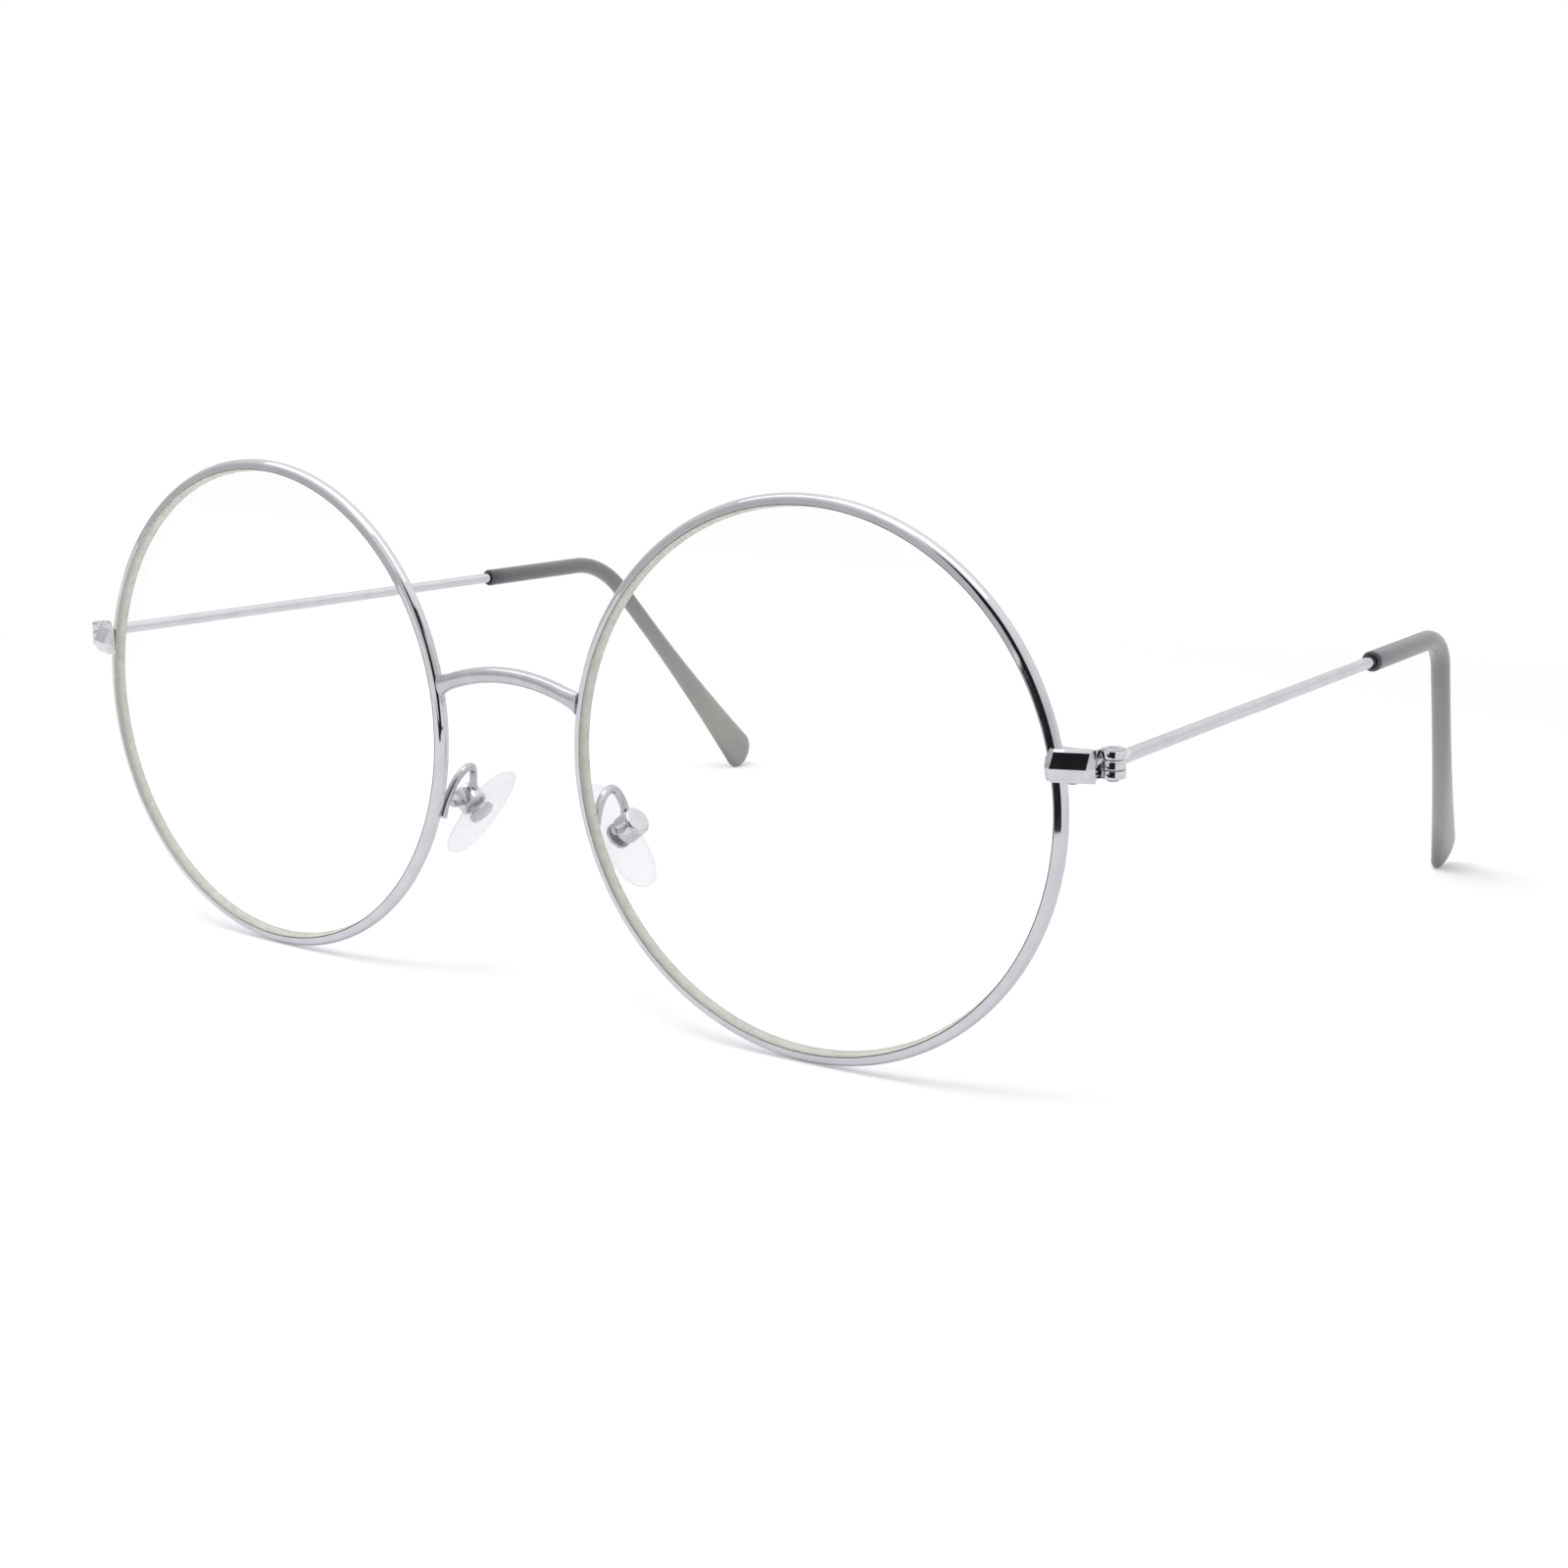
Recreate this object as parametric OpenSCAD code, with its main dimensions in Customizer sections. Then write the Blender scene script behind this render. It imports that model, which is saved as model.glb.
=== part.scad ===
// Round wire eyeglasses, standing open on their rims and tips.
// Millimetres. X runs across the face, Y runs back along the temples, Z is up.
// The origin is on the ground, in the middle of the outline seen from above.
// Left and right are the wearer's, so the left side is +X.

/* [Lenses and rims] */
// Diameter of a lens over its bevel
lens_d = 57; // [46:0.5:62]
// Gap between the two lenses across the nose
lens_gap = 20; // [17:0.5:24]
// Thickness of a lens
lens_t = 1.4; // [1:0.1:2]
// Radius of a lens's curved surfaces
lens_curve_r = 265; // [130:5:500]
// Height of the bevel round a lens
bevel_h = 0.45; // [0.3:0.05:0.6]
// Play between a lens and its groove
lens_play = 0.04; // [0.02:0.01:0.1]
// Metal outside the groove of a rim
rim_wall = 0.66; // [0.5:0.02:1]
// Depth of a rim from front to back
rim_depth = 1.4; // [1.2:0.05:2]
// Bevel on the edges of a rim
rim_edge = 0.22; // [0.1:0.02:0.3]
// Slit between the two ends of a rim
rim_slit = 0.16; // [0.1:0.02:0.3]
// Angle that each rim turns back from the nose
face_angle = 1.8; // [0:0.1:5]

/* [Bridge] */
// Thickness of the bridge wire
bridge_d = 1.8; // [1.2:0.1:2.4]
// Extra thickness where the bridge is brazed to a rim
bridge_foot = 0.5; // [0:0.1:0.8]
// Height of the bridge's crown above the lens centres
bridge_up = 7.4; // [4:0.1:11]
// Rise of the bridge from its ends to its crown
bridge_rise = 2; // [1:0.1:4]

/* [End pieces and rim locks] */
// Height of an end piece
end_h = 3.1; // [2.6:0.1:4]
// Height of the hinges above the lens centres
hinge_up = 5.5; // [0:0.1:9]
// Drop of the end pieces and locks below the middle of the hinges
end_drop = 0.25; // [0:0.05:0.4]
// Distance of the ridge of an end piece ahead of the hinge pin
ridge_ahead = 1.85; // [1.7:0.05:2.2]
// Angle that an end piece turns back towards its temple
end_turn = 20; // [12:1:24]
// Length of the bevel at the outer end of an end piece
end_bevel = 0.8; // [0.4:0.1:0.9]
// Length of the bevel at the inner end of an end piece
cap_bevel = 0.5; // [0.1:0.05:0.6]
// Width of a rim lock beyond the rim
lock_w = 1.9; // [1.7:0.1:2.2]
// Diameter of a rim lock screw
lock_screw_d = 0.9; // [0.6:0.1:1]
// Diameter of a rim lock screw's head
lock_head_d = 1.3; // [1.1:0.1:1.5]

/* [Hinges] */
// Distance of the hinge pin outside the rim
hinge_out = 3.75; // [3.6:0.05:5]
// Distance of the hinge pin behind the front
hinge_back = 2.6; // [2.4:0.1:4]
// Diameter of the knuckles
knuckle_d = 2.4; // [2.2:0.1:2.6]
// Height of a hinge over its three knuckles
knuckle_h = 2.7; // [2.3:0.1:3]
// Thickness of the temple's knuckle
tongue_t = 0.72; // [0.5:0.02:1]
// Diameter of a hinge screw
pin_d = 1.2; // [0.8:0.1:1.4]
// Diameter of a hinge screw's head
pin_head_d = 2.1; // [1.8:0.1:2.2]
// Running play of the hinge, all round
hinge_play = 0.04; // [0.02:0.01:0.08]
// Thickness of the leaf behind an end piece
leaf_t = 0.8; // [0.6:0.05:0.9]

/* [Temples] */
// Thickness of the temple wire
wire_d = 1.4; // [1:0.1:1.6]
// Height of the wire's middle above the middle of the hinge
wire_up = 0.25; // [0.1:0.05:0.4]
// Length from the hinge to the open end of the tip
wire_bare = 70; // [55:1:80]
// Length from the hinge to the corner of the bend
bend_at = 95.5; // [85:0.5:105]
// Angle of the bend
bend_angle = 52; // [35:1:60]
// Radius of the bend
bend_r = 12; // [8:0.5:18]
// Length from the corner of the bend to the end of the tip
drop_l = 46; // [38:0.5:50]
// Angle that each temple leans in towards the head
toe_in = 1.9; // [0:0.1:4]
// Angle of a temple below square to the front
temple_down = 1.2; // [0:0.1:6]
// Angle that the bend rolls in towards the head
bend_roll = 11; // [0:0.2:14]
// Outside diameter of the round part of a tip
sleeve_d = 2.4; // [2:0.1:3.2]
// Width of a tip at its widest
tip_w = 6.6; // [4:0.2:8]
// Thickness of a tip at its widest
tip_t = 2.2; // [1.6:0.1:2.4]
// Length of the drop before a tip widens
flare_at = 14; // [12:1:22]
// Length of the rounded end of a tip
tip_round = 2.4; // [2:0.1:4]
// Length of the wire that runs on inside the drop
core_l = 24; // [16:1:28]
// Thickness of the wire where it is drawn down inside the tip
core_d = 1.1; // [0.8:0.1:1.2]
// Length of the full wire inside the tip
wire_inside = 8; // [4:1:12]

/* [Nose pads] */
// Distance of a pad's screw from the middle of the nose
pad_out = 11.8; // [9:0.1:12.5]
// Distance of a pad's screw behind the front
pad_back = 5.2; // [4.5:0.1:8]
// Distance of a pad's screw below the lens centres
pad_down = 9; // [7:0.1:13]
// Angle of the pads out from upright
pad_splay = 38; // [15:1:40]
// Length of a pad
pad_l = 13; // [10:0.5:15]
// Width of a pad
pad_w = 7; // [5:0.5:8]
// Thickness of a pad
pad_t = 1.7; // [1.4:0.1:2.6]
// Diameter of a pad box
box_d = 3.3; // [2.8:0.1:3.8]
// Length of a pad box
box_l = 2.4; // [2.4:0.1:3.2]
// Wall of a pad box
box_wall = 0.4; // [0.3:0.05:0.5]
// Diameter of a pad screw
pad_screw_d = 1; // [0.7:0.1:1.1]
// Length of a pad screw's point ahead of its box
pad_screw_tip = 1.2; // [0.3:0.1:2]
// Room for a pad to rock over its box
pad_room = 0.35; // [0.3:0.05:0.8]
// Thickness of a pad arm
arm_d = 0.95; // [0.7:0.05:1.2]
// Angle round the rim from level down to the foot of a pad arm
arm_angle = 20; // [12:1:28]
// Rise of a pad arm's loop above the pad's screw
arm_rise = 4.2; // [3:0.1:6]

/* [Hidden] */
$fn = 96;
tip_sides = 20;
core_sides = 12;
arm_sides = 12;
pad_sides = 24;
bridge_sides = 24;
// Tubes stop this share of a quarter turn before they close to a point
near_end = 88;
eps = 0.01;
bright = [0.80, 0.80, 0.84];
steel = [0.62, 0.62, 0.66];
clear_tint = [0.90, 0.95, 0.94, 0.3];
pad_clear = [0.93, 0.95, 0.97, 0.5];
tip_grey = [0.60, 0.61, 0.56];

// Rims, worked out from the lens
lens_r = lens_d / 2;
rim_in_r = lens_r - bevel_h;
groove_r = lens_r + lens_play;
rim_r = groove_r + rim_wall;
rim_x = (lens_d + lens_gap) / 2;
bevel_half = 0.4;
lens_steps = 10;

// Where the rim's outside passes at a height above the lens centres, seen from ahead
function rim_reach(z, r) = sqrt(r * r - z * z);
bridge_end_up = bridge_up - bridge_rise;
bridge_half = rim_x - rim_reach(bridge_end_up, rim_r) * cos(face_angle);
bridge_y = -rim_reach(bridge_end_up, rim_r) * sin(face_angle);
bridge_arc_r = (bridge_half * bridge_half + bridge_rise * bridge_rise) / (2 * bridge_rise);
// The bridge's wire is drawn this far into the rims before it is cut to them
bridge_over = 1;
bridge_arc = asin((bridge_half + bridge_over) / bridge_arc_r);
bridge_foot_l = 2;
bridge_steps = 14;

// Hinge pin, and the rim beside it seen from the pin
pin = [rim_x + rim_r + hinge_out, hinge_back, hinge_up];
end_up = hinge_up - end_drop;
lock_at = asin(end_up / (rim_r - rim_wall / 2));
rim_side_x = rim_x + rim_reach(end_up, rim_r) * cos(face_angle) - pin.x;
rim_inner_x = rim_x + rim_reach(end_up, rim_in_r) * cos(face_angle) - pin.x;
rim_mid_y = rim_reach(end_up, rim_r) * sin(face_angle) - pin.y;
lock_inside = 0.5;
lock_behind = 0.05;
lock_x1 = rim_side_x + lock_w;
lock_front_y = rim_mid_y - rim_depth / 2;
lock_back_y = rim_mid_y + rim_depth / 2 + lock_behind;
lock_screw_x = rim_side_x + lock_w / 2;
lock_screw_short = 0.3;
lock_head_h = 0.35;

// End piece. Its section is [how far behind the ridge, height] from the ridge round to its foot,
// and the ends of its ridge are hipped by flat cuts, each [angle in plan, tilt].
end_reach = -rim_inner_x / cos(end_turn);
end_depth = ridge_ahead + 2;
ridge_z = -0.15;
upper_facet = [0.75, end_h / 2 - 0.25];
top_edge = [0.95, end_h / 2];
lower_edge = [0.55, -end_h / 2];
inner_hips = [[220, 64], [220, 110]];
outer_hips = [[315, 77]];

// Hinge
leaf_reach = 0.3;
leaf_u = -knuckle_d / 2 - leaf_reach;
leaf_front = -knuckle_d / 2 + lock_behind;
slot_in = 0.12;
slot_h = tongue_t + 2 * hinge_play;
pin_head_h = 0.22;
pin_tip_h = 0.25;
driver_slot_w = 0.26;
driver_slot_h = 0.12;

// Temple, along its own line from the pin
knuckle_clear = 0.3;
wire_start = knuckle_d / 2 + knuckle_clear;
tongue_l = 1.9;
tongue_end = wire_start + tongue_l;
bend_tangent = bend_r * tan(bend_angle / 2);
bend_start = bend_at - bend_tangent;
drop_straight = drop_l - bend_tangent;
core_play = 0.03;
core_lap = 1;
flare_power = 1.6;
tip_mid = drop_l - tip_round;

// Turns a vector about one axis
function turn_x(a, v) = [v.x, v.y * cos(a) - v.z * sin(a), v.y * sin(a) + v.z * cos(a)];
function turn_y(a, v) = [v.x * cos(a) + v.z * sin(a), v.y, v.z * cos(a) - v.x * sin(a)];
function turn_z(a, v) = [v.x * cos(a) - v.y * sin(a), v.x * sin(a) + v.y * cos(a), v.z];
// From the temple's own line to the front's frame, as a direction
function temple_turn(v) = turn_z(toe_in, turn_x(-temple_down, turn_y(bend_roll, v)));

// Middle of a tip's rounded end, its three half axes and how far it reaches down
drop_way = [0, cos(bend_angle), -sin(bend_angle)];
tip_centre = pin + [0, 0, wire_up] + temple_turn([0, bend_at, 0] + tip_mid * drop_way);
tip_axes = [
    tip_t / 2 * temple_turn([1, 0, 0]),
    tip_w / 2 * temple_turn([0, sin(bend_angle), cos(bend_angle)]),
    tip_round * temple_turn(drop_way)
];
function reach_down(lean) = norm([for (a = tip_axes) turn_x(lean, a).z]);

// The front leans until the rims and both tips stand on the ground
foot = [0, -rim_depth / 2 + rim_edge, -rim_r];
stand = tip_centre - foot;
function lean_for(drop) = asin(drop / norm([stand.y, stand.z])) - atan2(stand.z, stand.y);
lean = lean_for(reach_down(lean_for(tip_round)));
lift = -turn_x(lean, foot).z;
front_y = -rim_depth / 2 - rim_r * norm([sin(face_angle), sin(lean)]);
back_y = turn_x(lean, tip_centre).y + norm([for (a = tip_axes) turn_x(lean, a).y]);
middle_y = (front_y + back_y) / 2;

// Nose pad, along the line out of its box
box_back = 1.4;
box_front = box_l - box_back;
box_floor = 0.3;
box_round = 0.5;
pad_mid = box_front + pad_room + pad_t / 2;
box_room_r = box_d / 2 - box_wall;
eye_gap = 0.35;
eye_r = box_room_r - eye_gap;
eye_half = 0.75;
stem_w = 0.8;
anchor_r = 1.5;
anchor_t = 0.4;
pad_head_d = 1.5;
pad_head_h = 0.4;
pad_head_sunk = 0.2;
pad_power = 2.4;

// Pad arm, from the back of the rim over its loop to the box
arm_sunk = 0.1;
arm_in = 1.5;
arm_ahead = 1.5;
arm_over = 0.35;
arm_foot_r = rim_r - arm_sunk;
arm_foot = [
    rim_x - arm_foot_r * cos(arm_angle),
    rim_depth / 2 - arm_foot_r * cos(arm_angle) * sin(face_angle),
    -arm_foot_r * sin(arm_angle)
];
pad_screw = [pad_out, pad_back, -pad_down];
arm_top = [pad_out - arm_in, pad_back - arm_ahead, arm_rise - pad_down];
arm_end = pad_screw + turn_y(-pad_splay, [arm_over, 0, box_d / 2 - box_floor / 2]);
arm_rising = [-0.5, 0.7, 3];
arm_over_front = [0, -1.4, 0];
arm_over_back = [0, 1.1, 0];
arm_falling = [-0.1, -0.2, 1.4];
arm_steps = 9;

function bezier(a, b, c, d, t) =
    pow(1 - t, 3) * a + 3 * pow(1 - t, 2) * t * b + 3 * (1 - t) * t * t * c + pow(t, 3) * d;

// One step of a round tube round the bend
function bend_step(i, r) =
    let (a = bend_angle * i / bend_steps)
    [[0, bend_start + bend_r * sin(a), bend_r * (cos(a) - 1)], [0, cos(a), -sin(a)], r, r];

// Points of a tube's rings. A step is [middle, way along, half thickness in X, half width].
function ring(step, sides) = [
    for (k = [0:sides - 1])
        let (a = 360 * k / sides, side = cross(step[1], [1, 0, 0]))
        step[0] + [step[2] * cos(a), 0, 0] + step[3] * sin(a) * side / norm(side)
];

// A closed tube through its steps
module tube(steps, sides) {
    rings = len(steps);
    last = rings * sides;
    points = concat(
        [for (s = steps) each ring(s, sides)],
        [steps[0][0], steps[rings - 1][0]]
    );
    walls = [
        for (i = [0:rings - 2], k = [0:sides - 1])
            let (a = i * sides + k, b = i * sides + (k + 1) % sides)
            each [[a, b + sides, b], [a, a + sides, b + sides]]
    ];
    start_cap = [for (k = [0:sides - 1]) [last, k, (k + 1) % sides]];
    far = (rings - 1) * sides;
    end_cap = [for (k = [0:sides - 1]) [last + 1, far + (k + 1) % sides, far + k]];
    polyhedron(points = points, faces = concat(walls, start_cap, end_cap), convexity = 6);
}

// Frames that the pieces are drawn in
module mirrored(side) {
    if (side < 0) mirror([1, 0, 0]) children();
    else children();
}

module front_frame() {
    translate([0, -middle_y, lift]) rotate([lean, 0, 0]) children();
}

// Left side of the front, turned over for the right side
module front(side) {
    front_frame() mirrored(side) children();
}

// Middle of a rim, with the ring's axis along +Z, pointing ahead
module rim_frame() {
    translate([rim_x, 0, 0]) rotate([0, 0, face_angle]) rotate([90, 0, 0]) children();
}

module pin_frame() {
    translate(pin) children();
}

// Middle of an end piece and its lock, level with the slit in the rim
module block_frame() {
    pin_frame() translate([0, 0, -end_drop]) children();
}

// Along a temple from the pin, before its bend rolls in
module temple_frame(side) {
    front(side) pin_frame() rotate([0, 0, toe_in]) rotate([-temple_down, 0, 0]) children();
}

module bend_frame(side) {
    temple_frame(side) translate([0, 0, wire_up]) rotate([0, bend_roll, 0]) children();
}

// At a pad's screw, with +Z out of the box towards the nose and +Y back
module pad_frame(side) {
    front(side) translate(pad_screw) rotate([0, -90 - pad_splay, 0]) children();
}

// Lenses and rims
module rim_section() {
    half = rim_depth / 2;
    polygon([
        [rim_in_r, bevel_half], [rim_in_r, half - rim_edge / 2], [rim_in_r + rim_edge / 2, half],
        [rim_r - rim_edge, half], [rim_r, half - rim_edge],
        [rim_r, rim_edge - half], [rim_r - rim_edge, -half],
        [rim_in_r + rim_edge / 2, -half], [rim_in_r, rim_edge / 2 - half], [rim_in_r, -bevel_half],
        [groove_r, 0]
    ]);
}

module rim(side) {
    slit = rim_slit / rim_r * 180 / PI;
    color(bright) front(side) rim_frame()
        rotate_extrude(angle = 360 - slit, start = lock_at + slit / 2, $fn = 180) rim_section();
}

// Everything inside the rim's outer edge, for what is brazed to the rim
module rim_space(depth) {
    rim_frame() cylinder(r = rim_r, h = depth, center = true, $fn = 180);
}

// Middle line of a lens's section, from its centre out to the rim
lens_edge_r = rim_in_r - lens_play;
function bulge(r) = sqrt(pow(lens_curve_r, 2) - r * r) - sqrt(pow(lens_curve_r, 2) - pow(lens_edge_r, 2));
lens_line = [for (i = [0:lens_steps]) let (r = lens_edge_r * i / lens_steps) [r, bulge(r)]];

module lens(side) {
    half = [0, lens_t / 2];
    ridge = bevel_half - lens_play;
    face = [for (p = lens_line) p + half];
    back = [for (i = [lens_steps:-1:0]) lens_line[i] - half];
    color(clear_tint) front(side) rim_frame()
        rotate_extrude($fn = 180)
            polygon(concat(face, [[lens_edge_r, ridge], [lens_r, 0], [lens_edge_r, -ridge]], back));
}

// Everything behind a lens's front face, with its play, for what passes over the lens
module lens_room() {
    over = lens_t / 2 + lens_play;
    rim_frame() rotate_extrude($fn = 180) polygon(concat(
        [[0, 0]],
        [for (p = lens_line) p + [0, over]],
        [[rim_in_r, over], [rim_in_r, 0]]
    ));
}

// Bridge, drawn along Y and turned to lie along X
function bridge_swell(along) = pow(max(0, 1 - (bridge_half - abs(along)) / bridge_foot_l), 2);
bridge_rings = [
    for (i = [-bridge_steps:bridge_steps])
        let (
            a = bridge_arc * i / bridge_steps,
            y = bridge_arc_r * sin(a),
            r = (bridge_d + bridge_foot * min(1, bridge_swell(y))) / 2
        )
        [[0, y, bridge_arc_r * (cos(a) - 1)], [0, cos(a), -sin(a)], r, r]
];

module bridge() {
    color(bright) front_frame() difference() {
        translate([0, bridge_y, bridge_up]) rotate([0, 0, -90]) tube(bridge_rings, bridge_sides);
        rim_space(3 * rim_depth);
        mirror([1, 0, 0]) rim_space(3 * rim_depth);
    }
}

// Rim locks, two small blocks on the ends of the rim that a screw draws together
module lock_block(z0, z1) {
    translate([rim_side_x - lock_inside, lock_front_y, z0])
        cube([lock_w + lock_inside, lock_back_y - lock_front_y, z1 - z0]);
}

module lock_screw_hole(d) {
    translate([lock_screw_x, rim_mid_y, 0]) cylinder(d = d, h = 2 * end_h, center = true, $fn = 32);
}

module rim_lock_upper(side) {
    color(steel) front(side) difference() {
        block_frame() lock_block(rim_slit / 2, end_h / 2);
        rim_space(3 * rim_depth);
        block_frame() lock_screw_hole(lock_screw_d);
    }
}

module rim_lock_lower(side) {
    color(steel) front(side) difference() {
        block_frame() lock_block(-end_h / 2, -rim_slit / 2);
        rim_space(3 * rim_depth);
        block_frame() lock_screw_hole(lock_screw_d + 2 * hinge_play);
    }
}

module rim_lock_screw(side) {
    reach = end_h - lock_screw_short;
    color(steel) front(side) block_frame() translate([lock_screw_x, rim_mid_y, -end_h / 2]) difference() {
        union() {
            cylinder(d = lock_screw_d, h = reach, $fn = 32);
            translate([0, 0, -lock_head_h]) cylinder(d = lock_head_d, h = lock_head_h, $fn = 32);
        }
        translate([-lock_head_d, -driver_slot_w / 2, -lock_head_h - driver_slot_h])
            cube([2 * lock_head_d, driver_slot_w, 2 * driver_slot_h]);
    }
}

// End pieces, a ridged bar across the front of the rim to the hinge, drawn from the pin
module hip_cuts(at, hips) {
    room = 2 * end_reach;
    for (hip = hips) translate(at) rotate([0, hip[1], hip[0]]) translate([-room, -room, 0]) cube(2 * room);
}

module end_bar() {
    inner = -end_reach - cap_bevel;
    difference() {
        translate([inner, -ridge_ahead, 0]) rotate([90, 0, 90]) linear_extrude(leaf_u - inner)
            polygon([
                [0, ridge_z], upper_facet, top_edge,
                [end_depth, end_h / 2], [end_depth, -end_h / 2], lower_edge
            ]);
        hip_cuts([-end_reach, -ridge_ahead, ridge_z], inner_hips);
        hip_cuts([leaf_u - end_bevel, -ridge_ahead, ridge_z], outer_hips);
        translate([leaf_u - end_bevel, -ridge_ahead, -end_h]) rotate([0, 0, -45])
            cube([end_bevel * 3, end_bevel * 3, 2 * end_h]);
    }
}

module end_piece(side) {
    room = 4 * end_reach;
    color(bright) front(side) difference() {
        block_frame() rotate([0, 0, end_turn]) end_bar();
        rim_space(rim_depth);
        lens_room();
        pin_frame() translate([lock_x1 - room, lock_front_y, -room / 2]) cube(room);
        pin_frame() translate([-room / 2, lock_back_y, -room / 2]) cube(room);
    }
}

// Hinges, two knuckles on the front and one on the temple between them
module front_hinge(side) {
    color(bright) front(side) pin_frame() rotate([0, 0, end_turn]) difference() {
        union() {
            cylinder(d = knuckle_d, h = knuckle_h, center = true, $fn = 64);
            translate([leaf_u, leaf_front, -knuckle_h / 2]) cube([-leaf_u, leaf_t, knuckle_h]);
        }
        translate([leaf_u + slot_in, -knuckle_d, -slot_h / 2]) cube([2 * knuckle_d, 2 * knuckle_d, slot_h]);
        cylinder(d = pin_d + 2 * hinge_play, h = 2 * knuckle_h, center = true, $fn = 48);
    }
}

module hinge_screw(side) {
    shank = knuckle_h + pin_tip_h;
    color(steel) front(side) pin_frame() difference() {
        union() {
            translate([0, 0, -knuckle_h / 2 - pin_tip_h]) cylinder(d = pin_d, h = shank, $fn = 48);
            translate([0, 0, knuckle_h / 2]) cylinder(d = pin_head_d, h = pin_head_h, $fn = 48);
        }
        translate([-pin_head_d, -driver_slot_w / 2, knuckle_h / 2 + pin_head_h - driver_slot_h])
            cube([2 * pin_head_d, driver_slot_w, 2 * driver_slot_h]);
    }
}

module temple_hinge(side) {
    color(bright) temple_frame(side) difference() {
        union() {
            cylinder(d = knuckle_d, h = tongue_t, center = true, $fn = 64);
            translate([-wire_d / 2, 0, -tongue_t / 2]) cube([wire_d, tongue_end, tongue_t]);
        }
        cylinder(d = pin_d + 2 * hinge_play, h = 2 * tongue_t, center = true, $fn = 48);
    }
}

// Temples
bend_steps = 9;
function core_steps(r, end_l) = concat(
    [[[0, wire_bare + wire_inside - core_lap, 0], [0, 1, 0], r, r]],
    [for (i = [0:bend_steps]) bend_step(i, r)],
    [[[0, bend_at, 0] + end_l * drop_way, drop_way, r, r]]
);

// The wire and its drawn core, grown by the given play
module wire_solid(play) {
    translate([0, wire_start, 0]) rotate([-90, 0, 0])
        cylinder(d = wire_d + 2 * play, h = wire_bare + wire_inside - wire_start + play, $fn = 48);
    tube(core_steps(core_d / 2 + play, core_l + play), core_sides);
}

module temple_wire(side) {
    color(bright) difference() {
        bend_frame(side) wire_solid(0);
        temple_frame(side) translate([-wire_d, -eps, tongue_t / 2 - 4 * wire_d])
            cube([2 * wire_d, tongue_end + eps, 4 * wire_d]);
    }
}

// Half width and half thickness of a tip at a length down its drop
function flare(s) = pow(max(0, (s - flare_at) / (tip_mid - flare_at)), flare_power);
function tip_end(s) = s < tip_mid ? 1 : sqrt(max(0, 1 - pow((s - tip_mid) / tip_round, 2)));
function tip_half_w(s) = (sleeve_d + (tip_w - sleeve_d) * min(1, flare(s))) / 2 * tip_end(s);
function tip_half_t(s) = (sleeve_d + (tip_t - sleeve_d) * min(1, flare(s))) / 2 * tip_end(s);
drop_steps = 14;
round_steps = 6;
tip_steps = concat(
    [[[0, wire_bare, 0], [0, 1, 0], sleeve_d / 2, sleeve_d / 2]],
    [for (i = [0:bend_steps]) bend_step(i, sleeve_d / 2)],
    [
        for (i = [1:drop_steps])
            let (s = bend_tangent + (tip_mid - bend_tangent) * i / drop_steps)
            [[0, bend_at, 0] + s * drop_way, drop_way, tip_half_t(s), tip_half_w(s)]
    ],
    [
        for (i = [1:round_steps])
            let (s = tip_mid + tip_round * sin(near_end * i / round_steps))
            [[0, bend_at, 0] + s * drop_way, drop_way, tip_half_t(s), tip_half_w(s)]
    ]
);

module temple_tip(side) {
    color(tip_grey) bend_frame(side) difference() {
        tube(tip_steps, tip_sides);
        wire_solid(core_play);
    }
}

// Nose pads
module pad_box(side) {
    side_r = box_d / 2;
    corner = box_round * (1 - cos(45));
    floor_z = box_floor - box_back;
    color(bright) pad_frame(side) difference() {
        rotate_extrude($fn = 64) polygon([
            [0, -box_back], [side_r - box_round, -box_back],
            [side_r - corner, corner - box_back], [side_r, box_round - box_back],
            [side_r, box_front], [box_room_r, box_front], [box_room_r, floor_z], [0, floor_z]
        ]);
        rotate([90, 0, 0]) cylinder(d = pad_screw_d, h = 2 * box_d, center = true, $fn = 32);
        translate([0, side_r - pad_head_sunk, 0]) rotate([-90, 0, 0])
            cylinder(d = pad_head_d, h = box_d, $fn = 32);
    }
}

module pad_screw_piece(side) {
    head_y = box_d / 2 - pad_head_sunk;
    shank = head_y + box_d / 2 + pad_screw_tip;
    color(steel) pad_frame(side) difference() {
        union() {
            translate([0, head_y - shank, 0]) rotate([-90, 0, 0])
                cylinder(d = pad_screw_d, h = shank, $fn = 32);
            translate([0, head_y, 0]) rotate([-90, 0, 0]) cylinder(d = pad_head_d, h = pad_head_h, $fn = 32);
        }
        translate([-pad_head_d, head_y + pad_head_h - driver_slot_h, -driver_slot_w / 2])
            cube([2 * pad_head_d, 2 * driver_slot_h, driver_slot_w]);
    }
}

// Stem and disc that the pad is moulded round
module pad_anchor() {
    disc_z = pad_mid - anchor_t / 2;
    translate([0, 0, disc_z]) cylinder(r = anchor_r, h = anchor_t, $fn = 32);
    translate([-stem_w / 2, -eye_half, 0]) cube([stem_w, 2 * eye_half, disc_z]);
}

module pad_core(side) {
    color(pad_clear) pad_frame(side) difference() {
        union() {
            rotate([90, 0, 0]) cylinder(r = eye_r, h = 2 * eye_half, center = true, $fn = 48);
            pad_anchor();
        }
        rotate([90, 0, 0]) cylinder(d = pad_screw_d + 2 * hinge_play, h = box_d, center = true, $fn = 32);
    }
}

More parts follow.
